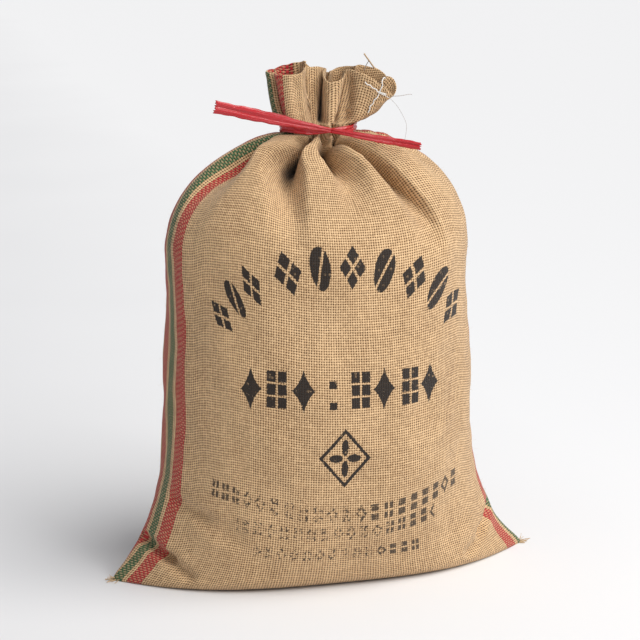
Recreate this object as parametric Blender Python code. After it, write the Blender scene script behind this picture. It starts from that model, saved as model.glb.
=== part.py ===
"""A jute sack of rice: filled, gathered at the neck and closed with a stiff red plastic strip.

The frame: +Z up, the origin on the floor under the middle of the sack, the printed panel facing -Y,
the two side folds and the corner ears at -X and +X. Lengths are in metres, except where a name says mm.
"""

import math
from collections import namedtuple

import bpy
import bmesh
import numpy as np
from mathutils import Vector

MM = 0.001

# The filled body: half widths run along X, half depths along Y
BODY_HALF_WIDTH = 0.1765
BODY_HALF_DEPTH = 0.126
UPPER_HALF_DEPTH = 0.112
TAPER = 0.0035
TAPER_START = 0.22
BELLY_RISE = 0.070
SOLE_HALF_DEPTH = 0.082
SOLE_ROUND = 0.014
SOLE_INSET_WIDTH = 0.008
SOLE_INSET_DEPTH = 0.016

# The two bottom corners spread sideways into ears
EAR_REACH = 0.253
EAR_FALL = 0.060
EAR_SHIFT = 0.004

# The section: a power of 2 and a point of 0.5 give an ellipse, a higher point gives sharper side folds
SECTION_POWER = 2.2
SECTION_POINT = 0.57
FLOOR_POWER = 1.0
FLOOR_POINT = 0.55
FLOOR_SECTION_FALL = 0.05
SIDE_FOLD_EDGE = 0.0016
SIDE_FOLD_SHARPNESS = 12
SECTION_SAMPLES = 1441

# The shoulder: the curves say how fast the width and the depth close in on the neck
SHOULDER_START = 0.365
SHOULDER_WIDTH_CURVE = 1.25
SHOULDER_DEPTH_CURVE = 2.5
SHOULDER_DROP = 0.014
SHOULDER_DROP_START = 0.30
SHOULDER_DROP_RISE = 0.12
SHOULDER_LEAN = 0.006
SHOULDER_FULL = 0.015

# The neck under the tie and the frill above it
NECK_HEIGHT = 0.510
NECK_LENGTH = 0.010
NECK_HALF_WIDTH = 0.0405
NECK_HALF_DEPTH = 0.0265
NECK_FOLD_DEPTH = 0.0125
NECK_SLOPE = 0.009
FRILL_OPENING = 0.36
FRILL_OPENING_LEAN = 0.30
CLOTH_THICKNESS = 0.0026
RIM_EDGE = 0.001
CAVITY_FLOOR = 0.551
CAVITY_SLOPE = -0.12

# How far from the neck the gathers change from narrow cracks into wide pockets
FOLD_DEEPENING = 0.035
CRACK_LENGTH = 0.030
SLOPE_WIDENING = 0.080
SWELL_START = 0.040
SWELL_END = 0.160
CRACK_CURVE = 1.7
POCKET_CURVE = 1.6

# The folds, counted from the left side of the sack over the front. Each is a valley and the ridge after it.
# body, neck: the valley's share of the way round. bend: how far it swings aside between the two.
# The rest is in mm. depth: of the valley on the shoulder. reach: how far it runs down from the neck.
# left, right: the widths of its slopes. swell: how far the ridge stands out on the shoulder.
# rim: where the valley ends at the rim. lobe, lobe_top: how far out and how high the ridge's rim is.
# columns: the columns of faces across the ridge.
Fold = namedtuple("Fold", "name body bend neck depth reach left right swell rim lobe lobe_top columns")
FOLDS = (
    Fold("left back", -0.040, 0.0, -0.060, 16, 120, 30, 25, 3, (-45, 24, 572), 8, 570, 8),
    Fold("left side", 0.036, 0.0, 0.060, 28, 190, 20, 36, 12, (-51, 1, 569), 18, 569, 14),
    Fold("left pocket", 0.186, -0.03, 0.198, 50, 190, 26, 18, 2, (-17, 2, 574), 0, 575, 10),
    Fold("middle pocket", 0.275, 0.0, 0.252, 38, 150, 18, 20, 10, (9, 3, 574), 25, 569, 11),
    Fold("right pocket", 0.385, 0.0, 0.318, 44, 220, 30, 16, 14, (29, -8, 570), 15, 566, 12),
    Fold("right side", 0.465, 0.0, 0.450, 12, 110, 25, 25, 3, (76, -24, 545), 8, 556, 8),
    Fold("right back", 0.551, 0.0, 0.560, 24, 140, 30, 30, 8, (76, -10, 564), 8, 573, 10),
    Fold("back right", 0.653, 0.0, 0.660, 36, 180, 25, 35, 3, (42, 3, 575), 9, 573, 10),
    Fold("back middle", 0.745, 0.0, 0.750, 34, 150, 30, 20, 8, (15, 10, 569), 9, 570, 10),
    Fold("back left", 0.837, 0.0, 0.840, 30, 170, 30, 35, 6, (-12, 17, 580), 9, 576, 11),
)

# Rows of faces up each stretch, and how much the rows crowd towards the floor and the neck
SOLE_ROWS = 3
WALL_ROWS = 13
SHOULDER_ROWS = 14
NECK_ROWS = 3
FRILL_ROWS = 6
CAVITY_ROWS = 3
FLOOR_CROWDING = 0.35
FRILL_CROWDING = 1.5
VALLEY_CROWDING = 0.5
TUFT_ROW = 2

# The creases over the front of the lower corners: X and Z of both ends, the depth and the half width
CREASES = (
    ((-0.178, 0.085), (-0.135, 0.040), 0.0060, 0.020),
    ((-0.135, 0.040), (-0.100, 0.036), 0.0040, 0.018),
    ((-0.205, 0.030), (-0.165, 0.004), 0.0050, 0.014),
    ((0.175, 0.085), (0.200, 0.045), 0.0050, 0.016),
)

# The tie: a red plastic strip, flat and stiff, with ridges along it
FIT_GAP = 0.0004
BAND_HEIGHT = 0.0085
BAND_STATIONS = 64
STRIP_THICKNESS = 0.0024
STRIP_WAIST = 0.0075
STRIP_STATIONS = 14
STRIP_BOW = 0.0012
STRIP_WIDENING = 1.6
STRIP_POINTS = 9
RIDGE_HEIGHT = 0.0005
RIDGE_COUNT = 3
BACK_RIDGE_SHARE = 0.6
KNOT = (0.006, -0.0335, NECK_HEIGHT)
KNOT_SIZE = (0.0075, 0.0085, 0.0120)
LEFT_END = (-0.1195, -0.0160, NECK_HEIGHT + 0.0275)
LEFT_END_WIDTH = 0.0165
LEFT_END_TEETH = 0.0006
RIGHT_END = (0.0985, -0.0640, NECK_HEIGHT - 0.0165)
RIGHT_END_WIDTH = 0.0100
RIGHT_END_TEETH = 0.0016

# The white sewing thread knotted on the right lobe of the frill: X, Y and Z along it in mm
THREAD_RADIUS = 0.0005
THREAD_KNOT_RADIUS = 0.0011
THREAD_SIDES = 6
THREAD_STEP = 0.002
THREAD_KNOT = (60.4, -33.1, 549.8)
THREAD_DOWN = (
    THREAD_KNOT, (58.5, -32.2, 545.4), (55.3, -31.4, 540.9), (51.3, -30.2, 534.3), (48.5, -29.0, 527.4),
)
THREAD_OVER = (
    THREAD_KNOT, (61.5, -33.8, 555.0), (63.0, -33.6, 561.5), (65.0, -30.0, 564.5), (69.0, -22.0, 564.5),
    (72.8, -14.2, 562.6),
)
THREAD_TAIL = (
    THREAD_KNOT, (65.0, -32.8, 546.6), (71.5, -30.6, 543.6), (80.0, -26.5, 543.6), (95.0, -30.0, 545.5),
)

# The frayed yarn at the two bottom corners
TUFT_LENGTH = 0.011
TUFT_RADIUS = 0.0032
TUFT_TIP_SHARE = 0.45
TUFT_SINK_SHARE = 0.3
TUFT_SIDES = 8
LEFT_TUFT_FACING = (-1, 0, 0.05)
RIGHT_TUFT_FACING = (1, 0, 0.2)

# Plain colours
JUTE_TAN = (0.42, 0.27, 0.13, 1)
TIE_RED = (0.60, 0.02, 0.02, 1)
THREAD_WHITE = (0.75, 0.72, 0.66, 1)

# One row of the skin. power and point shape its section, shift moves it along X, and full widens its
# right side. gather runs from 0 on the body to 1 at the neck, and flare from 0 there to 1 at the rim.
Row = namedtuple("Row", "z half_width half_depth power point shift full gather flare")


def smooth(t):
    t = np.clip(t, 0.0, 1.0)
    return t * t * (3 - 2 * t)


def columns():
    """For each column of vertices: its ridge, and where it lies across that ridge, 0 to 1."""
    ridge = []
    across = []
    for k, fold in enumerate(FOLDS):
        for c in np.arange(fold.columns) / fold.columns:
            ridge.append(k)
            across.append(c - VALLEY_CROWDING * math.sin(2 * math.pi * c) / (2 * math.pi))
    return np.array(ridge), np.array(across)


def levels():
    """The rows of the outer skin, from the edge of the flat sole up to the rim of the frill."""
    rows = []
    for t in np.linspace(0, 1, SOLE_ROWS, endpoint=False):
        angle = t * math.pi / 2
        rows.append(wall_row(SOLE_ROUND * (1 - math.cos(angle)), math.sin(angle)))
    for t in np.linspace(0, 1, WALL_ROWS, endpoint=False):
        climb = FLOOR_CROWDING * t * t + (1 - FLOOR_CROWDING) * t
        rows.append(wall_row(SOLE_ROUND + (SHOULDER_START - SOLE_ROUND) * climb, 1.0))
    for t in np.linspace(0, 1, SHOULDER_ROWS, endpoint=False):
        rows.append(shoulder_row(t * math.pi / 2))
    for t in np.linspace(0, 1, NECK_ROWS, endpoint=False):
        rows.append(neck_row(NECK_HEIGHT + NECK_LENGTH * (t - 0.5), 0.0))
    for t in np.linspace(0, 1, FRILL_ROWS + 1):
        rows.append(neck_row(NECK_HEIGHT + NECK_LENGTH / 2, t**FRILL_CROWDING))
    return rows


def wall_row(z, out):
    """out runs from 0, the edge of the patch that rests on the floor, to 1, the full outline."""
    near_floor = math.exp(-z / EAR_FALL)
    flat = math.exp(-z / FLOOR_SECTION_FALL)
    belly = 1 - math.exp(-z / BELLY_RISE)
    fall = smooth((z - TAPER_START) / (SHOULDER_START - TAPER_START))
    depth = SOLE_HALF_DEPTH + (BODY_HALF_DEPTH - SOLE_HALF_DEPTH) * belly
    depth -= (BODY_HALF_DEPTH - UPPER_HALF_DEPTH) * fall
    width = BODY_HALF_WIDTH - TAPER * fall + (EAR_REACH - BODY_HALF_WIDTH) * near_floor
    return Row(
        z=z,
        half_width=width - SOLE_INSET_WIDTH * (1 - out),
        half_depth=depth - SOLE_INSET_DEPTH * (1 - out),
        power=SECTION_POWER + FLOOR_POWER * flat,
        point=SECTION_POINT + FLOOR_POINT * flat,
        shift=EAR_SHIFT * near_floor,
        full=0.0,
        gather=0.0,
        flare=0.0,
    )


def shoulder_row(angle):
    """angle runs from 0 at the top of the wall to a right angle at the neck."""
    rise = math.sin(angle)
    wide = math.cos(angle) ** SHOULDER_WIDTH_CURVE
    deep = math.cos(angle) ** SHOULDER_DEPTH_CURVE
    top = NECK_HEIGHT - NECK_LENGTH / 2
    return Row(
        z=SHOULDER_START + (top - SHOULDER_START) * rise,
        half_width=NECK_HALF_WIDTH + (BODY_HALF_WIDTH - TAPER - NECK_HALF_WIDTH) * wide,
        half_depth=NECK_HALF_DEPTH + (UPPER_HALF_DEPTH - NECK_HALF_DEPTH) * deep,
        power=SECTION_POWER + (2 - SECTION_POWER) * rise,
        point=SECTION_POINT + (0.5 - SECTION_POINT) * rise,
        shift=0.0,
        full=math.sin(2 * angle) ** 2,
        gather=float(smooth(angle / (math.pi / 2))) ** 2,
        flare=0.0,
    )


def neck_row(z, flare):
    return Row(
        z=z,
        half_width=NECK_HALF_WIDTH,
        half_depth=NECK_HALF_DEPTH,
        power=2.0,
        point=0.5,
        shift=0.0,
        full=0.0,
        gather=1.0,
        flare=flare,
    )


def section(row, shares):
    """Points of a row's outline at the given shares of its own length, from the left fold over the front."""
    turn = np.linspace(0, 2 * math.pi, SECTION_SAMPLES)
    inward = np.abs(np.cos(turn))
    fullness = np.clip(1 - inward**row.power, 0, 1) ** row.point
    fold_edge = SIDE_FOLD_EDGE * np.sqrt(np.clip(1 - inward**SIDE_FOLD_SHARPNESS, 0, 1))
    x = -row.half_width * np.cos(turn)
    y = -np.sign(np.sin(turn)) * (row.half_depth * fullness + fold_edge)
    along = np.concatenate([[0], np.cumsum(np.hypot(np.diff(x), np.diff(y)))])
    along /= along[-1]
    shares = np.mod(shares, 1.0)
    return np.interp(shares, along, x), np.interp(shares, along, y)


def envelope(rows, ridge, across):
    """The outer skin before its folds: one ring of points for each row."""
    start = np.array([(f.body, f.bend, f.neck) for f in FOLDS])
    end = np.roll(start, -1, axis=0)
    end[-1, ::2] += 1.0
    body, bend, neck = (start[ridge] + (end[ridge] - start[ridge]) * across[:, None]).T
    skin = np.zeros((len(rows), len(ridge), 3))
    for j, row in enumerate(rows):
        halfway = 4 * row.gather * (1 - row.gather)
        x, y = section(row, body * (1 - row.gather) + neck * row.gather + bend * halfway)
        side = np.clip(x / BODY_HALF_WIDTH, -1, 1)
        drop = SHOULDER_DROP * smooth((row.z - SHOULDER_DROP_START) / SHOULDER_DROP_RISE) * (1 - row.gather)
        x = x + SHOULDER_LEAN * halfway + row.shift + SHOULDER_FULL * row.full * smooth(side)
        skin[j] = np.stack([x, y, row.z - drop * side], axis=1)
    return skin


def outward(skin):
    """Unit normals of a grid of rings, closed round each ring."""
    around = np.roll(skin, -1, axis=1) - np.roll(skin, 1, axis=1)
    normal = np.cross(around, np.gradient(skin, axis=0))
    return normal / np.maximum(np.linalg.norm(normal, axis=2, keepdims=True), 1e-9)


def fold_depths(rows, skin, ridge, across):
    """How far each point sinks along its normal to make the gathers."""
    below_neck = sum(1 for row in rows if row.gather < 1.0)
    step = np.linalg.norm(np.diff(skin, axis=0), axis=2)
    to_neck = np.zeros(skin.shape[:2])
    for j in range(below_neck - 1, -1, -1):
        to_neck[j] = to_neck[j + 1] + step[j]
    valleys = np.nonzero(across == 0)[0]
    swell = np.array([fold.swell for fold in FOLDS])[ridge] * MM
    sink = np.zeros(skin.shape[:2])
    for j, way in enumerate(to_neck):
        edge = np.linalg.norm(np.roll(skin[j], -1, axis=0) - skin[j], axis=1)
        along = np.cumsum(edge) - edge
        length = edge.sum()
        deepening = smooth(way / FOLD_DEEPENING)
        crack = 1 - smooth(way / CRACK_LENGTH)
        total = np.zeros(len(along))
        for k, fold in enumerate(FOLDS):
            away = np.mod(along - along[valleys[k]] + length / 2, length) - length / 2
            slope = np.where(away < 0, fold.left, fold.right) * MM
            depth = NECK_FOLD_DEPTH * (1 - deepening) + fold.depth * MM * deepening
            depth *= 1 - smooth(way / (fold.reach * MM))
            width = NECK_SLOPE + (slope - NECK_SLOPE) * smooth(way / SLOPE_WIDENING)
            x = np.clip(np.abs(away) / width, 0, 1)
            profile = (1 - x) ** CRACK_CURVE * crack + (1 - x * x) ** POCKET_CURVE * (1 - crack)
            total += (depth * profile) ** 3
        bulge = np.sin(across * math.pi) ** 2 * smooth(way / SWELL_START) * (1 - smooth(way / SWELL_END))
        sink[j] = np.cbrt(total) - swell * bulge
    return sink


def crease_depths(skin):
    """How far each point of the front sinks to make the creases at the lower corners."""
    sink = np.zeros(skin.shape[:2])
    place = skin[:, :, (0, 2)]
    for start, end, depth, width in CREASES:
        run = np.subtract(end, start)
        along = np.clip(((place - start) @ run) / (run @ run), 0, 1)
        away = np.linalg.norm(place - start - along[..., None] * run, axis=2)
        sink += depth * np.clip(1 - (away / width) ** 2, 0, 1) ** 2 * (skin[:, :, 1] < 0)
    return sink


def frill_rim(ridge, across):
    """The edge of the frill: a half ellipse from each valley to the next."""
    start = np.array([fold.rim for fold in FOLDS]) * MM
    end = np.roll(start, -1, axis=0)
    lobe = np.array([fold.lobe for fold in FOLDS])[ridge] * MM
    lobe_top = np.array([fold.lobe_top for fold in FOLDS])[ridge] * MM
    chord = (end - start)[ridge]
    out = np.stack([chord[:, 1], -chord[:, 0], np.zeros(len(chord))], axis=1)
    out /= np.linalg.norm(out, axis=1, keepdims=True)
    turn = across * math.pi
    rim = start[ridge] + chord * (1 - np.cos(turn))[:, None] / 2 + out * (lobe * np.sin(turn))[:, None]
    middle = (start[ridge, 2] + end[ridge, 2]) / 2
    rim[:, 2] += (lobe_top - middle) * np.sin(turn) ** 2
    return rim


def outer_skin():
    """The whole outside, from the edge of the sole to the rim, as rings of points, and its rows."""
    ridge, across = columns()
    rows = levels()
    skin = envelope(rows, ridge, across)
    skin -= outward(skin) * (fold_depths(rows, skin, ridge, across) + crease_depths(skin))[:, :, None]
    rim = frill_rim(ridge, across)
    neck = max(j for j, row in enumerate(rows) if row.flare == 0)
    opening = FRILL_OPENING + FRILL_OPENING_LEAN * rim[:, 0] / BODY_HALF_WIDTH
    for j in range(neck + 1, len(rows)):
        t = rows[j].flare
        open_out = (t**opening)[:, None]
        skin[j, :, :2] = skin[neck, :, :2] * (1 - open_out) + rim[:, :2] * open_out
        skin[j, :, 2] = skin[neck, :, 2] + (rim[:, 2] - skin[neck, :, 2]) * t
    return skin, rows


def inner_skin(outer, rows):
    """The inside of the frill, a cloth's thickness in from the outside, down to a sloping plane."""
    frill = outer[[j for j, row in enumerate(rows) if row.flare > 0]]
    around = np.roll(frill, -1, axis=1) - np.roll(frill, 1, axis=1)
    inward = np.stack([-around[..., 1], around[..., 0], np.zeros_like(around[..., 0])], axis=2)
    inward /= np.linalg.norm(inward, axis=2, keepdims=True)
    inner = frill + inward * CLOTH_THICKNESS
    rim = outer[-1]
    bottom = CAVITY_FLOOR + CAVITY_SLOPE * rim[:, 0]
    rings = []
    for t in np.linspace(0, 1, CAVITY_ROWS + 1):
        height = (rim[:, 2] - RIM_EDGE) * (1 - t) + bottom * t
        ring = np.zeros_like(rim)
        for i in range(len(rim)):
            order = np.argsort(inner[:, i, 2])
            ring[i] = [np.interp(height[i], inner[order, i, 2], inner[order, i, axis]) for axis in range(3)]
        rings.append(ring)
    rings[-1][:, 2] = CAVITY_FLOOR + CAVITY_SLOPE * rings[-1][:, 0]
    return np.array(rings)


def joined_rings(bm, rings):
    """Faces between each ring of vertices and the next."""
    for low, high in zip(rings, rings[1:]):
        for i in range(len(low)):
            j = (i + 1) % len(low)
            bm.faces.new((low[i], low[j], high[j], high[i]))


def finished(name, bm):
    """The mesh of a bmesh, in triangles and with its faces turned outward."""
    bmesh.ops.recalc_face_normals(bm, faces=bm.faces[:])
    bmesh.ops.triangulate(bm, faces=bm.faces[:])
    mesh = bpy.data.meshes.new(name)
    bm.to_mesh(mesh)
    bm.free()
    return mesh


def filled_sack(rings):
    """The sack's mesh: a flat sole, the outside, the inside of the frill and a flat end to its hollow."""
    bm = bmesh.new()
    grid = [[bm.verts.new(p) for p in ring] for ring in rings]
    joined_rings(bm, grid)
    middle = bm.verts.new((0, 0, 0))
    sole = grid[0]
    for i in range(len(sole)):
        bm.faces.new((sole[(i + 1) % len(sole)], sole[i], middle))
    bm.faces.new(grid[-1])
    return finished("sack", bm)


def tuft(name, tip, facing):
    """A short stub of frayed yarn at a bottom corner."""
    facing = Vector(facing).normalized()
    bm = bmesh.new()
    bmesh.ops.create_cone(bm, cap_ends=True, segments=TUFT_SIDES, radius1=TUFT_RADIUS,
                          radius2=TUFT_RADIUS * TUFT_TIP_SHARE, depth=TUFT_LENGTH)
    bmesh.ops.transform(bm, verts=bm.verts, matrix=facing.to_track_quat("Z", "Y").to_matrix().to_4x4())
    bmesh.ops.translate(bm, verts=bm.verts, vec=Vector(tip) + facing * TUFT_LENGTH * TUFT_SINK_SHARE)
    return finished(name, bm)


def turns_right(a, b, c):
    """True where the way from a over b to c doesn't turn left."""
    return (b[0] - a[0]) * (c[1] - a[1]) - (b[1] - a[1]) * (c[0] - a[0]) <= 0


def convex_outline(points):
    """The convex outline of some points seen from above, as X and Y pairs."""
    order = sorted({(round(float(x), 6), round(float(y), 6)) for x, y in points})
    outline = []
    for run in (order, order[::-1]):
        half = []
        for p in run:
            while len(half) > 1 and turns_right(half[-2], half[-1], p):
                half.pop()
            half.append(p)
        outline += half[:-1]
    return np.array(outline)


def strip_outline(width, swing):
    """The strip seen from its end, across and out, with ridges on both faces."""
    across = np.linspace(-0.5, 0.5, STRIP_POINTS)
    ridge = RIDGE_HEIGHT * np.cos(across * 2 * RIDGE_COUNT * math.pi + swing)
    front = np.stack([across * width, STRIP_THICKNESS / 2 + ridge], axis=1)
    back = np.stack([across * width, -STRIP_THICKNESS / 2 + ridge * BACK_RIDGE_SHARE], axis=1)
    return np.concatenate([front, back[::-1]])


def tie_band(skin, rows):
    """The strip's turn round the neck. It bridges the folds and stands off the cloth by the fit gap."""
    neck = [j for j, row in enumerate(rows) if row.gather == 1.0 and row.flare == 0]
    outline = convex_outline(skin[neck].reshape(-1, 3)[:, :2])
    turn = np.linspace(0, 2 * math.pi, BAND_STATIONS, endpoint=False)
    facing = np.stack([np.cos(turn), np.sin(turn)], axis=1)
    aside = np.stack([-np.sin(turn), np.cos(turn)], axis=1)
    reach = (outline @ facing.T).max(axis=0) + FIT_GAP + STRIP_THICKNESS / 2 + RIDGE_HEIGHT
    change = np.gradient(np.concatenate([reach[-1:], reach, reach[:1]]), turn[1])[1:-1]
    loop = facing * reach[:, None] + aside * change[:, None]
    outline = strip_outline(BAND_HEIGHT, 0.0)
    bm = bmesh.new()
    rings = []
    for place, out in zip(loop, facing):
        ring = [bm.verts.new((*(place + out * o), NECK_HEIGHT + a)) for a, o in outline]
        rings.append(ring)
    joined_rings(bm, rings + rings[:1])
    return finished("band", bm)


def tie_end(name, end, end_width, teeth):
    """One free end of the strip, from the knot to a ragged tip, growing wider on the way."""
    start = np.array(KNOT)
    run = np.array(end) - start
    length = np.linalg.norm(run)
    run /= length
    out = np.array((0.0, -1.0, 0.0))
    out -= run * (out @ run)
    out /= np.linalg.norm(out)
    wide = np.cross(run, out)
    wide *= math.copysign(1, wide[2])
    jagged = np.cos(np.linspace(-0.5, 0.5, STRIP_POINTS) * 5 * math.pi) * teeth
    bm = bmesh.new()
    rings = []
    for t in np.linspace(0, 1, STRIP_STATIONS):
        width = STRIP_WAIST + (end_width - STRIP_WAIST) * smooth(t * STRIP_WIDENING)
        outline = strip_outline(width, math.sin(4 * t))
        place = start + run * length * t + out * STRIP_BOW * math.sin(2 * math.pi * t)
        ring = place + wide * outline[:, :1] + out * outline[:, 1:]
        if t == 1:
            ring += run * np.concatenate([jagged, jagged[::-1]])[:, None]
        rings.append([bm.verts.new(p) for p in ring])
    joined_rings(bm, rings)
    for cap in (rings[0], rings[-1]):
        for i in range(STRIP_POINTS - 1):
            bm.faces.new((cap[i], cap[i + 1], cap[-2 - i], cap[-1 - i]))
    return finished(name, bm)


def ball(name, place, size, detail):
    """A round lump, size across along each axis."""
    bm = bmesh.new()
    bmesh.ops.create_icosphere(bm, subdivisions=detail, radius=0.5)
    bmesh.ops.scale(bm, verts=bm.verts, vec=size)
    bmesh.ops.translate(bm, verts=bm.verts, vec=place)
    return finished(name, bm)


def smooth_path(points, step):
    """Points close together along a smooth curve through the given ones."""
    points = np.array(points)
    ends = np.concatenate([2 * points[:1] - points[1:2], points, 2 * points[-1:] - points[-2:-1]])
    path = []
    for a, b, c, d in zip(ends, ends[1:], ends[2:], ends[3:]):
        pieces = max(2, round(np.linalg.norm(c - b) / step))
        for t in np.arange(pieces) / pieces:
            path.append(b + 0.5 * t * (c - a + t * (2 * a - 5 * b + 4 * c - d + t * (3 * (b - c) + d - a))))
    path.append(points[-1])
    return np.array(path)


def thread(name, points):
    """A thin round thread through points given in mm."""
    path = smooth_path(np.array(points) * MM, THREAD_STEP)
    run = np.gradient(path, axis=0)
    run /= np.linalg.norm(run, axis=1, keepdims=True)
    aside = np.cross(run, (0.3, -0.9, 0.3))
    aside /= np.linalg.norm(aside, axis=1, keepdims=True)
    out = np.cross(aside, run)
    turn = np.arange(THREAD_SIDES) * 2 * math.pi / THREAD_SIDES
    bm = bmesh.new()
    rings = []
    for p, a, o in zip(path, aside, out):
        ring = p + THREAD_RADIUS * (np.cos(turn)[:, None] * a + np.sin(turn)[:, None] * o)
        rings.append([bm.verts.new(v) for v in ring])
    joined_rings(bm, rings)
    bm.faces.new(rings[0])
    bm.faces.new(rings[-1])
    return finished(name, bm)


def united(name, meshes, collection):
    """One object from overlapping closed meshes."""
    extras = bpy.data.collections.new(name + " pieces")
    bpy.context.scene.collection.children.link(extras)
    body = bpy.data.objects.new(name, meshes[0])
    collection.objects.link(body)
    for mesh in meshes[1:]:
        piece = bpy.data.objects.new(mesh.name, mesh)
        piece.hide_render = True
        piece.display_type = "WIRE"
        extras.objects.link(piece)
    union = body.modifiers.new("Union", "BOOLEAN")
    union.operand_type = "COLLECTION"
    union.collection = extras
    union.operation = "UNION"
    union.solver = "EXACT"
    shape = body.evaluated_get(bpy.context.evaluated_depsgraph_get())
    mesh = bpy.data.meshes.new_from_object(shape)
    body.modifiers.clear()
    body.data = mesh
    for piece in list(extras.objects):
        bpy.data.objects.remove(piece)
    bpy.data.collections.remove(extras)
    return body


def coloured(item, name, colour, roughness):
    """Gives an object its own plain material and smooth shading."""
    material = bpy.data.materials.new(name)
    material.use_nodes = True
    shader = material.node_tree.nodes["Principled BSDF"]
    shader.inputs["Base Color"].default_value = colour
    shader.inputs["Roughness"].default_value = roughness
    item.data.materials.clear()
    item.data.materials.append(material)
    for face in item.data.polygons:
        face.use_smooth = True


def main():
    for old in list(bpy.data.objects):
        bpy.data.objects.remove(old)
    collection = bpy.data.collections.new("rice_sack")
    bpy.context.scene.collection.children.link(collection)

    outer, rows = outer_skin()
    rings = np.concatenate([outer, inner_skin(outer, rows)])
    rings[0][:, 2] = 0.0
    corners = outer[TUFT_ROW]
    left = tuft("left tuft", corners[corners[:, 0].argmin()], LEFT_TUFT_FACING)
    right = tuft("right tuft", corners[corners[:, 0].argmax()], RIGHT_TUFT_FACING)
    coloured(united("sack", [filled_sack(rings), left, right], collection), "jute cloth", JUTE_TAN, 0.95)

    strip = [
        tie_band(outer, rows),
        tie_end("left end", LEFT_END, LEFT_END_WIDTH, LEFT_END_TEETH),
        tie_end("right end", RIGHT_END, RIGHT_END_WIDTH, RIGHT_END_TEETH),
        ball("knot", KNOT, KNOT_SIZE, 3),
    ]
    coloured(united("tie", strip, collection), "red plastic strip", TIE_RED, 0.35)

    knot = Vector(THREAD_KNOT) * MM
    threads = [
        ball("thread knot", knot, (2 * THREAD_KNOT_RADIUS,) * 3, 2),
        thread("down", THREAD_DOWN),
        thread("over", THREAD_OVER),
        thread("tail", THREAD_TAIL),
    ]
    coloured(united("stitch_thread", threads, collection), "sewing thread", THREAD_WHITE, 0.8)

    for item in collection.objects:
        item.data.calc_loop_triangles()
        print(item.name, "has", len(item.data.loop_triangles), "triangles")


main()
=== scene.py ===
# %% [markdown]
# A tied jute sack of rice
#
# A plain solid model of the sack comes in as the frame. Each cell below dresses one part of it: the
# woven cloth with its coloured stripes and its print, the red plastic strip round the neck, the sewing
# thread, the yarn ends at the corners and the fine fuzz that any jute cloth has.
# Lengths are in metres, and a name that ends in MM says so. The printed panel faces -Y, and +Z is up.

# %% Load the frame
import math
from collections import namedtuple

import bmesh
import bpy
import numpy as np
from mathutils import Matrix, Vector


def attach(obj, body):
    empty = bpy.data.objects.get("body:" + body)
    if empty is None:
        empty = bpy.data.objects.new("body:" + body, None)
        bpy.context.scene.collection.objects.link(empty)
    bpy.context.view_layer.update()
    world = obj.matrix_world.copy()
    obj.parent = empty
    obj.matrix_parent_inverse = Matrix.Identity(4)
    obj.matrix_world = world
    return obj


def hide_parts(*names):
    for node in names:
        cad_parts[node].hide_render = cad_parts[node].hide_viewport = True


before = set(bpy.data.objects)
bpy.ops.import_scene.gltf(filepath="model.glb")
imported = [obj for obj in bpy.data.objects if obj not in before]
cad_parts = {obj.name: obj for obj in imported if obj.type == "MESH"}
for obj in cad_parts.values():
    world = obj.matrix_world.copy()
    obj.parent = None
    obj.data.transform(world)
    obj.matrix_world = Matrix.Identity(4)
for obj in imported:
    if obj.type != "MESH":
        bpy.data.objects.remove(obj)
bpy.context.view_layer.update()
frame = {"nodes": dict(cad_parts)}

MM = 0.001
print("nodes:", ", ".join(frame["nodes"]))

# %% [markdown]
# The camera
#
# A product photograph is taken from a distance, so the sack's sides stay almost parallel. A long lens
# far away gives that look. The camera stands a little to the left and a little above the sack, and it
# is aimed by two numbers: how far round the sack it is, and how high.

# %% Camera
PICTURE_SIDE = 640
PIXELS_PER_METRE = 854.7
SENSOR = 36.0
CAMERA_ROUND = math.radians(-14.5)
CAMERA_UP = math.radians(13.5)
CAMERA_DISTANCE = 2.2
AIM_ACROSS = 1.5
AIM_UP = 241.0


def toward_camera(turn, height):
    """The direction from the sack to a camera that far round it and that far above the horizon."""
    flat = math.cos(height)
    return Vector((math.sin(turn) * flat, -math.cos(turn) * flat, math.sin(height)))


def into_scene(name, data):
    """A new object with that mesh, lens or lamp, placed in the scene."""
    item = bpy.data.objects.new(name, data)
    bpy.context.scene.collection.objects.link(item)
    return item


def make_camera():
    back = toward_camera(CAMERA_ROUND, CAMERA_UP)
    right = Vector((math.cos(CAMERA_ROUND), math.sin(CAMERA_ROUND), 0))
    aim = (right * AIM_ACROSS + back.cross(right) * AIM_UP) / PIXELS_PER_METRE
    lens = bpy.data.cameras.new("picture camera")
    lens.sensor_width = SENSOR
    lens.lens = PIXELS_PER_METRE * CAMERA_DISTANCE * SENSOR / PICTURE_SIDE
    camera = into_scene("picture camera", lens)
    camera.location = aim + back * CAMERA_DISTANCE
    camera.rotation_euler = (-back).to_track_quat("-Z", "Y").to_euler()
    bpy.context.scene.camera = camera
    print("camera lens", round(lens.lens, 1), "mm")


make_camera()

# %% [markdown]
# Helpers for meshes
#
# Every piece here is made of rings of points that are joined ring to ring, like the hoops of a barrel.
# One function turns a stack of rings into a mesh, so the sack, the strip and the threads share it.

# %% Mesh helpers
def mesh_from(bm, name):
    """The finished mesh of a bmesh, which is freed."""
    mesh = bpy.data.meshes.new(name)
    bm.to_mesh(mesh)
    bm.free()
    return mesh


def new_object(name, mesh):
    """A smooth object in the scene."""
    item = into_scene(name, mesh)
    for face in mesh.polygons:
        face.use_smooth = True
    return item


def joined_rings(bm, rings):
    """Faces between each ring of vertices and the next."""
    for low, high in zip(rings, rings[1:]):
        for i in range(len(low)):
            j = (i + 1) % len(low)
            bm.faces.new((low[i], low[j], high[j], high[i]))


def smooth(t):
    """Runs from 0 to 1 with a gentle start and end."""
    t = np.clip(t, 0.0, 1.0)
    return t * t * (3 - 2 * t)


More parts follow.
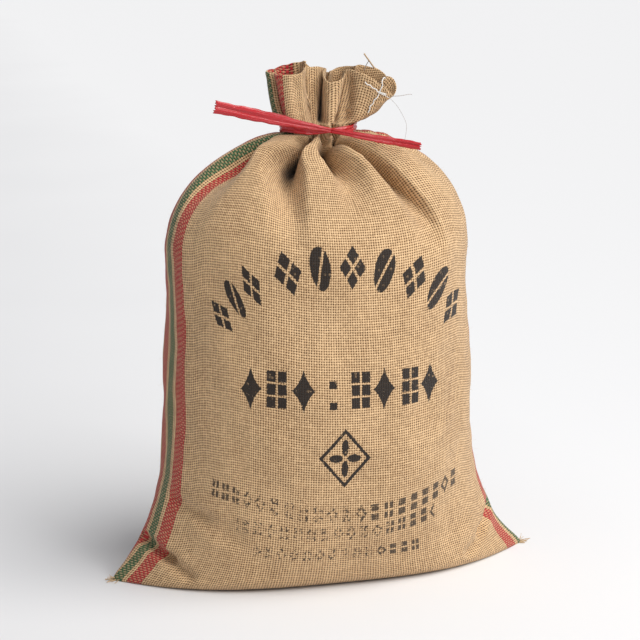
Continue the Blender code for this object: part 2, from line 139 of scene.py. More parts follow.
def unit(vectors):
    """The same directions, each one long."""
    return vectors / np.maximum(np.linalg.norm(vectors, axis=-1, keepdims=True), 1e-12)


def rolling(points, size, seed):
    """Soft hills and hollows about size across, mostly from -1 to 1: many waves in many directions."""
    dice = np.random.default_rng(seed)
    waves = 10
    total = np.zeros(points.shape[:-1])
    for _ in range(waves):
        direction = unit(dice.normal(size=points.shape[-1]))
        start = dice.uniform(0, 2 * math.pi)
        total += np.sin(points @ direction * (2 * math.pi / size) + start)
    return total / math.sqrt(2 * waves)


# %% [markdown]
# Numbers inside a material
#
# A weave is arithmetic: which thread is this, how far from its middle, which thread is on top. Blender's
# material nodes can do that arithmetic at each point of the cloth. The small class below lets it be
# written as ordinary sums, and each sum becomes one Math node.

# %% Material helpers
class Number:
    """A number that the material works out at each point of a surface."""

    def __init__(self, tree, socket):
        self.tree = tree
        self.socket = socket

    def step(self, operation, *others, clamp=False):
        node = self.tree.nodes.new("ShaderNodeMath")
        node.operation = operation
        node.use_clamp = clamp
        for place, value in zip(node.inputs, (self, *others)):
            if isinstance(value, Number):
                self.tree.links.new(value.socket, place)
            else:
                place.default_value = value
        return Number(self.tree, node.outputs["Value"])

    def __add__(self, other):
        return self.step("ADD", other)

    def __sub__(self, other):
        return self.step("SUBTRACT", other)

    def __mul__(self, other):
        return self.step("MULTIPLY", other)

    def __truediv__(self, other):
        return self.step("DIVIDE", other)

    def whole(self):
        return self.step("FLOOR")

    def part(self):
        """What is left after the whole number, from 0 to 1."""
        return self.step("FRACT")

    def size(self):
        return self.step("ABSOLUTE")

    def clamped(self):
        return self.step("ADD", 0.0, clamp=True)

    def opposite(self):
        """1 becomes 0 and 0 becomes 1."""
        return self.step("MULTIPLY_ADD", -1.0, 1.0)

    def below(self, limit, softness):
        """1 well below the limit, 0 well above it, and a soft step between."""
        return ((self - limit) * (-1.0 / softness)).step("ADD", 0.5, clamp=True)

    def larger(self, other):
        return self.step("MAXIMUM", other)

    def smaller(self, other):
        return self.step("MINIMUM", other)


def new_material(name):
    """A node material: its tree and its shader."""
    material = bpy.data.materials.new(name)
    material.use_nodes = True
    return material, material.node_tree, material.node_tree.nodes["Principled BSDF"]


def surface_place(tree, layer):
    """The two coordinates of a surface in metres, from a named layer of the mesh."""
    node = tree.nodes.new("ShaderNodeUVMap")
    node.uv_map = layer
    parts = tree.nodes.new("ShaderNodeSeparateXYZ")
    tree.links.new(node.outputs["UV"], parts.inputs["Vector"])
    return Number(tree, parts.outputs["X"]), Number(tree, parts.outputs["Y"])


def combined(tree, x, y, z=0.0):
    """A vector from three numbers."""
    node = tree.nodes.new("ShaderNodeCombineXYZ")
    for place, value in zip(node.inputs, (x, y, z)):
        if isinstance(value, Number):
            tree.links.new(value.socket, place)
        else:
            place.default_value = value
    return node.outputs["Vector"]


def noise(tree, vector, scale, detail=2.0):
    """Cloudy values between 0 and 1, most of them near 0.5."""
    node = tree.nodes.new("ShaderNodeTexNoise")
    node.inputs["Scale"].default_value = scale
    node.inputs["Detail"].default_value = detail
    tree.links.new(vector, node.inputs["Vector"])
    return Number(tree, node.outputs["Fac"])


def dice_roll(tree, vector):
    """A value between 0 and 1 that jumps from each cell to the next."""
    node = tree.nodes.new("ShaderNodeTexWhiteNoise")
    tree.links.new(vector, node.inputs["Vector"])
    return Number(tree, node.outputs["Value"])


def colour_mix(tree, share, first, second, blend="MIX"):
    """first where share is 0 and second where it is 1."""
    node = tree.nodes.new("ShaderNodeMix")
    node.data_type = "RGBA"
    node.blend_type = blend
    places = [s for s in node.inputs if s.type == "RGBA"]
    for place, value in zip([node.inputs["Factor"], *places], (share, first, second)):
        if isinstance(value, Number):
            tree.links.new(value.socket, place)
        elif isinstance(value, bpy.types.NodeSocket):
            tree.links.new(value, place)
        else:
            place.default_value = value
    return next(s for s in node.outputs if s.type == "RGBA")


def set_sockets(shader, values):
    """Sets constant values on a shader's own sockets."""
    for name, value in values.items():
        shader.inputs[name].default_value = value


def add_bump(tree, shader, height, strength, distance):
    """Fine relief for the light, from a number of the material."""
    bump = tree.nodes.new("ShaderNodeBump")
    set_sockets(bump, {"Strength": strength, "Distance": distance})
    tree.links.new(height.socket, bump.inputs["Height"])
    tree.links.new(bump.outputs["Normal"], shader.inputs["Normal"])


def object_place(tree):
    """A point's place in the object, for patterns that need no cloth coordinates."""
    return tree.nodes.new("ShaderNodeTexCoord").outputs["Object"]


print("helpers are ready")

# %% [markdown]
# Floor and light
#
# The picture's ground is a seamless pale sweep. A wide flat disc does that job, as the camera looks down
# on it and never sees its edge. The light is soft: a bright pale sky from all round, and one broad lamp
# from the right, the front and above that models the folds and leaves the left flank in shade. A weak
# soft box in front lifts the shadows a little.

# %% Floor
FLOOR_RADIUS = 30.0
FLOOR_CORNERS = 96
# The floor's two colours are painted shade to the left and painted light to the right, where the lamp is
FLOOR_SHADED_GREY = (0.68, 0.685, 0.70, 1)
FLOOR_LIT_WHITE = (0.84, 0.845, 0.855, 1)
SWEEP_WIDTH = 1.1
SWEEP_START = 0.45
SWEEP_CLOUD_SCALE = 1.5
SWEEP_CLOUDS = 0.3


def make_floor():
    bm = bmesh.new()
    bmesh.ops.create_circle(bm, cap_ends=True, segments=FLOOR_CORNERS, radius=FLOOR_RADIUS)
    floor = new_object("studio_floor", mesh_from(bm, "studio_floor"))
    material, tree, shader = new_material("pale paper")
    parts = tree.nodes.new("ShaderNodeSeparateXYZ")
    tree.links.new(object_place(tree), parts.inputs["Vector"])
    clouds = noise(tree, object_place(tree), SWEEP_CLOUD_SCALE) * SWEEP_CLOUDS
    # Painted light and shade: the floor is painted greyer to the left and whiter to the right, with soft
    # cloudy edges
    across = Number(tree, parts.outputs["X"]) / SWEEP_WIDTH + clouds
    colour = colour_mix(tree, across.step("ADD", SWEEP_START, clamp=True), FLOOR_SHADED_GREY, FLOOR_LIT_WHITE)
    tree.links.new(colour, shader.inputs["Base Color"])
    set_sockets(shader, {"Roughness": 0.9, "Specular IOR Level": 0.1})
    floor.data.materials.append(material)


make_floor()

# %% Lights
SKY_COLOUR = (0.93, 0.95, 1.0, 1)
SKY_STRENGTH = 0.38
KEY_FROM = (0.60, -0.52, 1.08)
KEY_STRENGTH = 2.80
KEY_SOFTNESS = math.radians(50)
KEY_COLOUR = (1.0, 0.98, 0.95)
FRONT_LAMP_PLACE = (0.9, -1.6, 1.3)
FRONT_LAMP_AIM = (0.0, 0.0, 0.35)
FRONT_LAMP_POWER = 8.0
FRONT_LAMP_SIDE = 0.6


def make_lights():
    world = bpy.data.worlds.new("pale sky")
    world.use_nodes = True
    sky = world.node_tree.nodes["Background"]
    sky.inputs["Color"].default_value = SKY_COLOUR
    sky.inputs["Strength"].default_value = SKY_STRENGTH
    bpy.context.scene.world = world
    sun = bpy.data.lights.new("broad lamp", "SUN")
    sun.energy = KEY_STRENGTH
    sun.angle = KEY_SOFTNESS
    sun.color = KEY_COLOUR
    key = into_scene("broad lamp", sun)
    key.rotation_euler = Vector(KEY_FROM).to_track_quat("Z", "Y").to_euler()
    box = bpy.data.lights.new("soft box", "AREA")
    box.energy = FRONT_LAMP_POWER
    box.size = FRONT_LAMP_SIDE
    front = into_scene("soft box", box)
    front.location = FRONT_LAMP_PLACE
    toward_lamp = Vector(FRONT_LAMP_PLACE) - Vector(FRONT_LAMP_AIM)
    front.rotation_euler = toward_lamp.to_track_quat("Z", "Y").to_euler()
    bpy.context.scene.view_settings.view_transform = "Standard"
    print("lights:", sun.name, "and", box.name)


make_lights()

# %% [markdown]
# The body of the sack
#
# A filled sack is a soft barrel. Each height has an outline that lies between an ellipse and a lens, with
# a side fold at each end. Near the floor the two bottom corners spread out into ears, and above the
# shoulder the outline closes in on the neck. The same few measures made the solid model, so the cloth
# lies where the solid is. Here the rings are four times as fine.

# %% Sizes of the body
BODY_HALF_WIDTH = 0.1765
BODY_HALF_DEPTH = 0.126
UPPER_HALF_DEPTH = 0.112
TAPER = 0.0035
TAPER_START = 0.22
BELLY_RISE = 0.070
SOLE_HALF_DEPTH = 0.082
SOLE_ROUND = 0.014
SOLE_INSET_WIDTH = 0.008
SOLE_INSET_DEPTH = 0.016
EAR_REACH = 0.253
EAR_FALL = 0.060
EAR_SHIFT = 0.004
SECTION_POWER = 2.2
SECTION_POINT = 0.57
FLOOR_POWER = 1.0
FLOOR_POINT = 0.55
FLOOR_SECTION_FALL = 0.05
SIDE_FOLD_EDGE = 0.0016
SIDE_FOLD_SHARPNESS = 12
SECTION_SAMPLES = 2881
SHOULDER_START = 0.365
SHOULDER_WIDTH_CURVE = 1.25
SHOULDER_DEPTH_CURVE = 2.5
SHOULDER_DROP = 0.014
SHOULDER_DROP_START = 0.30
SHOULDER_DROP_RISE = 0.12
SHOULDER_LEAN = 0.006
SHOULDER_FULL = 0.015
NECK_HEIGHT = 0.510
NECK_LENGTH = 0.010
NECK_HALF_WIDTH = 0.0405
NECK_HALF_DEPTH = 0.0265

# One row of the skin. gather runs from 0 on the body to 1 at the neck, and flare from 0 at the neck to 1
# at the rim.
Row = namedtuple("Row", "z half_width half_depth power point shift full gather flare")


def wall_row(z, out):
    """A row of the wall. out runs from 0, the edge that rests on the floor, to 1, the full outline."""
    near_floor = math.exp(-z / EAR_FALL)
    flat = math.exp(-z / FLOOR_SECTION_FALL)
    belly = 1 - math.exp(-z / BELLY_RISE)
    fall = smooth((z - TAPER_START) / (SHOULDER_START - TAPER_START))
    depth = SOLE_HALF_DEPTH + (BODY_HALF_DEPTH - SOLE_HALF_DEPTH) * belly
    depth -= (BODY_HALF_DEPTH - UPPER_HALF_DEPTH) * fall
    width = BODY_HALF_WIDTH - TAPER * fall + (EAR_REACH - BODY_HALF_WIDTH) * near_floor
    return Row(
        z=z,
        half_width=width - SOLE_INSET_WIDTH * (1 - out),
        half_depth=depth - SOLE_INSET_DEPTH * (1 - out),
        power=SECTION_POWER + FLOOR_POWER * flat,
        point=SECTION_POINT + FLOOR_POINT * flat,
        shift=EAR_SHIFT * near_floor,
        full=0.0,
        gather=0.0,
        flare=0.0,
    )


def shoulder_row(angle):
    """A row of the shoulder. angle runs from 0 at the top of the wall to a right angle at the neck."""
    rise = math.sin(angle)
    wide = math.cos(angle) ** SHOULDER_WIDTH_CURVE
    deep = math.cos(angle) ** SHOULDER_DEPTH_CURVE
    top = NECK_HEIGHT - NECK_LENGTH / 2
    return Row(
        z=SHOULDER_START + (top - SHOULDER_START) * rise,
        half_width=NECK_HALF_WIDTH + (BODY_HALF_WIDTH - TAPER - NECK_HALF_WIDTH) * wide,
        half_depth=NECK_HALF_DEPTH + (UPPER_HALF_DEPTH - NECK_HALF_DEPTH) * deep,
        power=SECTION_POWER + (2 - SECTION_POWER) * rise,
        point=SECTION_POINT + (0.5 - SECTION_POINT) * rise,
        shift=0.0,
        full=math.sin(2 * angle) ** 2,
        gather=float(smooth(angle / (math.pi / 2))) ** 2,
        flare=0.0,
    )


def neck_row(z, flare):
    return Row(z, NECK_HALF_WIDTH, NECK_HALF_DEPTH, 2.0, 0.5, 0.0, 0.0, 1.0, flare)


# %% The rows from the floor to the rim
SOLE_ROWS = 8
WALL_ROWS = 84
SHOULDER_ROWS = 72
NECK_ROWS = 6
FRILL_ROWS = 36
FLOOR_CROWDING = 0.35
FRILL_CROWDING = 1.5


def levels():
    """The rows of the outside, from the edge of the flat sole up to the rim of the frill."""
    rows = []
    for t in np.linspace(0, 1, SOLE_ROWS, endpoint=False):
        angle = t * math.pi / 2
        rows.append(wall_row(SOLE_ROUND * (1 - math.cos(angle)), math.sin(angle)))
    for t in np.linspace(0, 1, WALL_ROWS, endpoint=False):
        climb = FLOOR_CROWDING * t * t + (1 - FLOOR_CROWDING) * t
        rows.append(wall_row(SOLE_ROUND + (SHOULDER_START - SOLE_ROUND) * climb, 1.0))
    for t in np.linspace(0, 1, SHOULDER_ROWS, endpoint=False):
        rows.append(shoulder_row(t * math.pi / 2))
    for t in np.linspace(0, 1, NECK_ROWS, endpoint=False):
        rows.append(neck_row(NECK_HEIGHT + NECK_LENGTH * (t - 0.5), 0.0))
    for t in np.linspace(0, 1, FRILL_ROWS + 1):
        rows.append(neck_row(NECK_HEIGHT + NECK_LENGTH / 2, t**FRILL_CROWDING))
    return rows


rows = levels()
print("rows:", len(rows))

# %% [markdown]
# The gathers
#
# Where the cloth is drawn together it folds into ridges with deep valleys between them. Ten of each run
# round this sack. Every fold has a line in the table: where it starts on the body, where it meets the
# neck, how deep and how long it is, and where it opens out again at the rim. Few large folds with their
# own names are easier to set against a picture than a random pattern of many.

# %% The table of folds
# body and neck are shares of the way round, counted from the left side fold over the front. The other
# measures are in mm: the valley's depth and reach, the widths of its slopes, the ridge's swelling, the
# valley's end at the rim, and how far out and how high the ridge's rim is. over_left and over_right say
# how far the ridges beside the valley lean over it, and slit how deep it is in the frill. swing is
# how far the valley slides aside close under the strip.
Fold = namedtuple(
    "Fold",
    "name body bend neck depth reach left right swell rim lobe lobe_top columns over_left over_right slit"
    " swing",
)
FOLDS = (
    Fold("left back", -0.040, 0.0, -0.060, 16, 120, 30, 25, 3, (-45, 24, 572), 8, 570, 8, 0, 3, 4, 0),
    Fold("left side", 0.036, 0.0, 0.060, 28, 190, 20, 36, 12, (-51, 1, 569), 18, 569, 14, 2, 11, 10, 0),
    Fold("left pocket", 0.186, -0.03, 0.198, 38, 170, 28, 20, 3, (-17, 2, 574), 0, 575, 10, 9, 2, 1.5, -3),
    Fold("middle pocket", 0.275, 0.0, 0.252, 26, 120, 20, 24, 10, (10, 3, 573), 22, 560, 11, 2, 5, 14, -12),
    Fold("right pocket", 0.385, -0.005, 0.318, 36, 215, 34, 15, 14, (29, -8, 570), 15, 567, 12, 2, 14, 9, -4),
    Fold("right side", 0.465, 0.0, 0.450, 12, 110, 25, 25, 3, (76, -24, 545), 8, 556, 8, 3, 0, 2, 0),
    Fold("right back", 0.551, 0.0, 0.560, 24, 140, 30, 30, 8, (76, -10, 564), 8, 573, 10, 0, 5, 4, 0),
    Fold("back right", 0.653, 0.0, 0.660, 36, 180, 25, 35, 3, (42, 3, 575), 9, 573, 10, 8, 0, 5, 0),
    Fold("back middle", 0.745, 0.0, 0.750, 34, 150, 30, 20, 8, (15, 10, 569), 9, 570, 10, 3, 8, 5, 4),
    Fold("back left", 0.837, 0.0, 0.840, 30, 170, 30, 35, 6, (-12, 17, 580), 9, 576, 11, 0, 7, 5, 0),
)
FOLD_NUMBERS = {fold.name: k for k, fold in enumerate(FOLDS)}
FINENESS = 4
VALLEY_CROWDING = 0.5


def of_folds(measure):
    """One measure of every fold, in metres."""
    return np.array([getattr(fold, measure) for fold in FOLDS]) * MM


def columns():
    """For each column of points: its ridge, and where it lies across that ridge, 0 to 1."""
    ridge = []
    across = []
    for k, fold in enumerate(FOLDS):
        for c in np.arange(fold.columns * FINENESS) / (fold.columns * FINENESS):
            ridge.append(k)
            across.append(c - VALLEY_CROWDING * math.sin(2 * math.pi * c) / (2 * math.pi))
    return np.array(ridge), np.array(across)


ridge, across = columns()
valleys = np.nonzero(across == 0)[0]
print("columns:", len(ridge))

# %% The skin before its folds
def section(row, shares):
    """Points of a row's outline at the given shares of its own length, from the left fold over the front."""
    turn = np.linspace(0, 2 * math.pi, SECTION_SAMPLES)
    inward = np.abs(np.cos(turn))
    fullness = np.clip(1 - inward**row.power, 0, 1) ** row.point
    fold_edge = SIDE_FOLD_EDGE * np.sqrt(np.clip(1 - inward**SIDE_FOLD_SHARPNESS, 0, 1))
    x = -row.half_width * np.cos(turn)
    y = -np.sign(np.sin(turn)) * (row.half_depth * fullness + fold_edge)
    along = np.concatenate([[0], np.cumsum(np.hypot(np.diff(x), np.diff(y)))])
    along /= along[-1]
    shares = np.mod(shares, 1.0)
    return np.interp(shares, along, x), np.interp(shares, along, y)


def body_shares():
    """Each column's share of the way round on the body, its swing, and its share at the neck."""
    start = np.array([(f.body, f.bend, f.neck) for f in FOLDS])
    end = np.roll(start, -1, axis=0)
    end[-1, ::2] += 1.0
    return (start[ridge] + (end[ridge] - start[ridge]) * across[:, None]).T


def envelope():
    """The outside before its folds: one ring of points for each row."""
    body, bend, neck = body_shares()
    skin = np.zeros((len(rows), len(ridge), 3))
    for j, row in enumerate(rows):
        halfway = 4 * row.gather * (1 - row.gather)
        x, y = section(row, body * (1 - row.gather) + neck * row.gather + bend * halfway)
        side = np.clip(x / BODY_HALF_WIDTH, -1, 1)
        drop = SHOULDER_DROP * smooth((row.z - SHOULDER_DROP_START) / SHOULDER_DROP_RISE) * (1 - row.gather)
        x = x + SHOULDER_LEAN * halfway + row.shift + SHOULDER_FULL * row.full * smooth(side)
        skin[j] = np.stack([x, y, row.z - drop * side], axis=1)
    return skin


def outward(skin):
    """The directions that point straight out of a skin."""
    around = np.roll(skin, -1, axis=1) - np.roll(skin, 1, axis=1)
    return unit(np.cross(around, np.gradient(skin, axis=0)))


skin = envelope()
print("points of the outside:", skin.shape[0] * skin.shape[1])

# %% How deep the gathers are
NECK_FOLD_DEPTH = 0.0125
NECK_SLOPE = 0.009
FOLD_DEEPENING = 0.035
CRACK_LENGTH = 0.030
SLOPE_WIDENING = 0.080
SWELL_START = 0.040
SWELL_END = 0.160
CRACK_CURVE = 1.7
POCKET_CURVE = 1.6
SWING_WAY = 0.024
SWING_LENGTH = 0.020
# The dark hollows under the strip, in mm: the fold, the way from the neck to the hollow's upper edge,
# how fast it drops and how slowly it fades, its middle beside the valley, its two widths and its depth
Pit = namedtuple("Pit", "fold way drop fade aside left right depth")
PITS = (
    Pit("left pocket", 5, 6, 23, -2, 17, 12, 42),
    Pit("middle pocket", 9, 6, 21, 0, 16, 20, 46),
    Pit("right pocket", 5, 6, 16, 0, 13, 14, 38),
    Pit("back right", 10, 8, 28, 3, 10, 14, 24),
    Pit("back middle", 8, 7, 24, -2, 14, 9, 26),
)


def ways_to_neck(skin):
    """How far each point is from the neck, along its own column of the skin."""
    below_neck = sum(1 for row in rows if row.gather < 1.0)
    step = np.linalg.norm(np.diff(skin, axis=0), axis=2)
    ways = np.zeros(skin.shape[:2])
    for j in range(below_neck - 1, -1, -1):
        ways[j] = ways[j + 1] + step[j]
    return ways


def along_ring(ring):
    """How far along a closed ring each of its points lies, and the length of the whole ring."""
    edge = np.linalg.norm(np.roll(ring, -1, axis=0) - ring, axis=1)
    return np.cumsum(edge) - edge, edge.sum()


def past_valley(along, length, k, aside=0.0):
    """How far each point of a ring lies past valley k, with less than 0 on its left."""
    return np.mod(along - along[valleys[k]] - aside + length / 2, length) - length / 2


def slope_width(fold, away, way):
    """How wide a valley's slope is on each point's side, at that way from the neck."""
    slope = np.where(away < 0, fold.left, fold.right) * MM
    return NECK_SLOPE + (slope - NECK_SLOPE) * smooth(way / SLOPE_WIDENING)


def fold_depths(skin, ways):
    """How far each point sinks to make the gathers: narrow cracks at the neck, wide pockets below."""
    swell = of_folds("swell")[ridge]
    sink = np.zeros(skin.shape[:2])
    for j, way in enumerate(ways):
        along, length = along_ring(skin[j])
        deepening = smooth(way / FOLD_DEEPENING)
        crack = 1 - smooth(way / CRACK_LENGTH)
        total = np.zeros(len(along))
        for k, fold in enumerate(FOLDS):
            away = past_valley(along, length, k)
            depth = NECK_FOLD_DEPTH * (1 - deepening) + fold.depth * MM * deepening
            depth *= 1 - smooth(way / (fold.reach * MM))
            x = np.clip(np.abs(away) / slope_width(fold, away, way), 0, 1)
            profile = (1 - x) ** CRACK_CURVE * crack + (1 - x * x) ** POCKET_CURVE * (1 - crack)
            total += (depth * profile) ** 3
        bulge = np.sin(across * math.pi) ** 2 * smooth(way / SWELL_START) * (1 - smooth(way / SWELL_END))
        sink[j] = np.cbrt(total) - swell * bulge
        for pit in PITS:
            away = past_valley(along, length, FOLD_NUMBERS[pit.fold], pit.aside * MM)
            x = np.clip(np.abs(away) / (np.where(away < 0, pit.left, pit.right) * MM), 0, 1)
            past = way - pit.way * MM
            fade = smooth(past / (pit.drop * MM)) * np.exp(-((past / (pit.fade * MM)) ** 2))
            sink[j] += pit.depth * MM * (1 - x * x) ** 2 * fade
    return sink


ways = ways_to_neck(skin)
gathers = fold_depths(skin, ways)
print("deepest gather:", round(float(gathers.max()) / MM, 1), "mm")

# %% How far the ridges lean over
LEAN_START = 0.009
LEAN_WIDENING = 3.0
LEAN_CREST = 0.35
LEAN_FADE_SHARE = 0.35
# How far from the neck the ridges beside a valley lean over it, in mm
LEAN_REACHES = {"left pocket": 48, "middle pocket": 44, "right pocket": 190}
USUAL_LEAN_REACH = 110


def leaning(skin, ways):
    """How far each point slides round the sack, so that a ridge hangs over the pocket beside it."""
    swing = of_folds("swing")
    swing = swing[ridge] * (1 - across) + np.roll(swing, -1)[ridge] * across
    slide = swing * np.exp(-(((ways - SWING_WAY) / SWING_LENGTH) ** 2))
    for j, way in enumerate(ways):
        along, length = along_ring(skin[j])
        for k, fold in enumerate(FOLDS):
            away = past_valley(along, length, k)
            x = np.clip(np.abs(away) / (slope_width(fold, away, way) * LEAN_WIDENING), 0, 1)
            reach = LEAN_REACHES.get(fold.name, USUAL_LEAN_REACH) * MM
            gone = (way / reach - LEAN_FADE_SHARE) / (1 - LEAN_FADE_SHARE)
            strength = smooth(way / LEAN_START) * (1 - smooth(gone))
            lean = np.where(away < 0, fold.over_left, -fold.over_right) * MM
            slide[j] += strength * lean * smooth(x / LEAN_CREST) * smooth((1 - x) / (1 - LEAN_CREST))
    return slide


slides = leaning(skin, ways)
print("furthest lean:", round(float(np.abs(slides).max()) / MM, 1), "mm")

# %% [markdown]
# Creases, rice and drag
#
# Three smaller reliefs make the barrel look like cloth over grain. The lower corners fold over where the
# ears leave the body. The rice pushes the cloth out in low hills as broad as a hand. And short wrinkles
# run down from the neck, because the cloth is pulled there. Each is a number of millimetres, in or out,
# and all of them are added up before the skin is moved once.

# %% Small reliefs
# Each crease: X and Z of both ends, the depth and the half width
CREASES = (
    ((-0.215, 0.056), (-0.186, 0.036), 0.0100, 0.011),
    ((-0.186, 0.036), (-0.165, 0.018), 0.0070, 0.010),
    ((-0.172, 0.101), (-0.150, 0.090), 0.0050, 0.013),
    ((-0.150, 0.090), (-0.120, 0.070), 0.0035, 0.018),
    ((0.203, 0.056), (0.186, 0.038), 0.0080, 0.011),
    ((0.186, 0.038), (0.165, 0.020), 0.0040, 0.012),
)
RICE_HILLS = ((0.110, 0.0018, 11), (0.052, 0.0011, 12), (0.026, 0.0004, 13))
SIDE_HILLS = (0.075, 0.0032, 14)
RICE_LOW = 0.05
RICE_TOP = 0.40
RICE_FADE = 0.09
SIDE_REACH = 0.05
SIDE_TOP = 0.30
DRAG_WRINKLES = ((0.022, 0.0011, 21), (0.011, 0.0005, 22))
DRAG_REACH = 0.120
DRAG_STRETCH = 0.16
DRAG_START = 0.012


def crease_depths(skin):
    """How far each point of the front sinks to make the creases at the lower corners."""
    sink = np.zeros(skin.shape[:2])
    place = skin[:, :, (0, 2)]
    for start, end, depth, width in CREASES:
        run = np.subtract(end, start)
        along = np.clip(((place - start) @ run) / (run @ run), 0, 1)
        away = np.linalg.norm(place - start - along[..., None] * run, axis=2)
        sink += depth * np.clip(1 - (away / width) ** 2, 0, 1) ** 2 * (skin[:, :, 1] < 0)
    return sink


def rice_relief(skin):
    """The low hills of the rice, less of them close to the floor and none at the neck."""
    height_there = skin[:, :, 2]
    strength = smooth(height_there / RICE_LOW) * (1 - smooth((height_there - RICE_TOP) / RICE_FADE))
    hills = sum(rolling(skin, size, seed) * height for size, height, seed in RICE_HILLS)
    size, height, seed = SIDE_HILLS
    near_fold = smooth(1 - np.abs(skin[:, :, 1]) / SIDE_REACH)
    near_fold *= smooth((SIDE_TOP - height_there) / SIDE_REACH)
    return strength * (hills + near_fold * rolling(skin * (0.3, 0.3, 1), size, seed) * height)


def drag_relief(skin, ways):
    """Wrinkles that run down from the neck."""
    step = np.linalg.norm(np.roll(skin, -1, axis=1) - skin, axis=2)
    round_way = np.cumsum(step, axis=1)
    place = np.stack([round_way, ways * DRAG_STRETCH, skin[:, :, 1] * DRAG_STRETCH], axis=2)
    strength = (1 - smooth(ways / DRAG_REACH)) * smooth(ways / DRAG_START)
    return strength * sum(rolling(place, size, seed) * height for size, height, seed in DRAG_WRINKLES)


relief = rice_relief(skin) + drag_relief(skin, ways) - gathers - crease_depths(skin)
round_way = unit(np.roll(skin, -1, axis=1) - np.roll(skin, 1, axis=1))
skin += outward(skin) * relief[:, :, None] + round_way * slides[:, :, None]
skin[0, :, 2] = 0.0
skin[:, :, 2] = np.maximum(skin[:, :, 2], 0.0)
print("lowest point:", skin[:, :, 2].min(), "highest before the frill:", round(float(skin[:, :, 2].max()), 3))

# %% [markdown]
# The frill above the tie
#
# Over the strip the cloth springs open again in lobes. The rim of each lobe is half an ellipse from one
# valley to the next. The cloth between the neck and the rim opens out fast and then stands almost
# straight, so its path is a power of the height. The valleys open more slowly than the crests, so they
# stay shut as slits. The inside is the same sheet, a cloth's thickness in.

# %% The frill
# How far each lobe bulges past its own valleys, as a share of their distance
LOBE_BULGES = {"left side": 0.05, "middle pocket": 0.13, "right pocket": 0.10, "back middle": 0.12}
FRILL_OPENING = 0.36
FRILL_OPENING_LEAN = 0.30
VALLEY_OPENING = 0.40
VALLEY_OPENING_CURVE = 1.5
CLOTH_THICKNESS = 0.0019
RIM_RUFFLE = 0.0007
RUFFLE_SIZE = 0.012
FRILL_WRINKLE = 0.0006
WRINKLE_SIZE = 0.014
WRINKLE_STRETCH = 0.3
WRINKLE_START = 0.2
SLIT_WIDTH = 0.008
SLIT_CURVE = 1.5
SLIT_START = 0.06
SLIT_FADE_START = 0.35
SLIT_FADE = 0.6
DENT_START = 0.1
DENT_FADE_START = 0.8
DENT_FADE = 0.55
# Dents in the frill's lobes: the ridge, where across it at the neck and at the rim, its width, and mm deep
FRILL_DENTS = (("right pocket", 0.30, 0.24, 0.17, 8.0), ("left side", 0.62, 0.55, 0.15, 1.8))
CAVITY_FLOOR = 0.540
CAVITY_SLOPE = -0.12
CAVITY_ROWS = 14
ROUND_RIM = (45, 90, 135)
HEM_SWELL = 0.0007
HEM_WIDTH = 0.007


def frill_rim():
    """The edge of the frill: a half ellipse from each valley to the next."""
    start = of_folds("rim")
    end = np.roll(start, -1, axis=0)
    lobe = of_folds("lobe")[ridge]
    lobe_top = of_folds("lobe_top")[ridge]
    chord = (end - start)[ridge]
    out = unit(np.stack([chord[:, 1], -chord[:, 0], np.zeros(len(chord))], axis=1))
    turn = across * math.pi
    bulge = np.array([LOBE_BULGES.get(fold.name, 0.0) for fold in FOLDS])[ridge]
    across_lobe = (1 - np.cos(turn)) / 2 - bulge * np.sin(2 * turn)
    rim = start[ridge] + chord * across_lobe[:, None] + out * (lobe * np.sin(turn))[:, None]
    middle = (start[ridge, 2] + end[ridge, 2]) / 2
    rim[:, 2] += (lobe_top - middle) * np.sin(turn) ** 2
    rim[:, 2] += rolling(rim, RUFFLE_SIZE, 31) * RIM_RUFFLE
    return rim


def frill_relief(skin):
    """How far the points of the frill sink: slits in the valleys, and dents in some lobes."""
    slits = np.zeros(skin.shape[:2])
    dents = np.zeros(skin.shape[:2])
    for j, row in enumerate(rows):
        if row.flare == 0:
            continue
        along, length = along_ring(skin[j])
        fade = smooth((row.flare - SLIT_FADE_START) / (1 - SLIT_FADE_START))
        strength = smooth(row.flare / SLIT_START) * (1 - SLIT_FADE * fade)
        for k, fold in enumerate(FOLDS):
            away = past_valley(along, length, k)
            profile = np.clip(1 - np.abs(away) / SLIT_WIDTH, 0, 1) ** SLIT_CURVE
            slits[j] += strength * fold.slit * MM * profile
        for name, low, high, width, depth in FRILL_DENTS:
            here = ridge == FOLD_NUMBERS[name]
            middle = low + (high - low) * row.flare
            x = np.clip(np.abs(across - middle) / width, 0, 1)
            fade = smooth((row.flare - DENT_FADE_START) / (1 - DENT_FADE_START))
            fading = smooth(row.flare / DENT_START) * (1 - DENT_FADE * fade)
            dents[j] += here * depth * MM * fading * (1 - x * x) ** 2
    return slits, dents


def raise_frill(skin):
    """Moves the rows above the tie out to the rim."""
    rim = frill_rim()
    neck = max(j for j, row in enumerate(rows) if row.flare == 0)
    opening = FRILL_OPENING + FRILL_OPENING_LEAN * rim[:, 0] / BODY_HALF_WIDTH
    opening += VALLEY_OPENING * (1 - np.sin(across * math.pi)) ** VALLEY_OPENING_CURVE
    facing = unit(skin[neck] / (NECK_HALF_WIDTH**2, NECK_HALF_DEPTH**2, math.inf))
    for j in range(neck + 1, len(rows)):
        t = rows[j].flare
        open_out = (t**opening)[:, None]
        skin[j, :, :2] = skin[neck, :, :2] * (1 - open_out) + rim[:, :2] * open_out
        skin[j, :, 2] = skin[neck, :, 2] + (rim[:, 2] - skin[neck, :, 2]) * t
    flare = np.array([row.flare for row in rows])[:, None]
    hem = HEM_SWELL * smooth(1 - (rim[:, 2] - skin[:, :, 2]) / HEM_WIDTH) * (flare > 0.5)
    wrinkle = FRILL_WRINKLE * rolling(skin * (1, 1, WRINKLE_STRETCH), WRINKLE_SIZE, 32)
    wrinkle *= smooth(flare / WRINKLE_START)
    slits, dents = frill_relief(skin)
    skin += outward(skin) * (hem + wrinkle - dents)[:, :, None] - facing * slits[:, :, None]
    return slits


slits = raise_frill(skin)
print("rim from", round(float(skin[-1, :, 2].min()), 3), "to", round(float(skin[-1, :, 2].max()), 3))

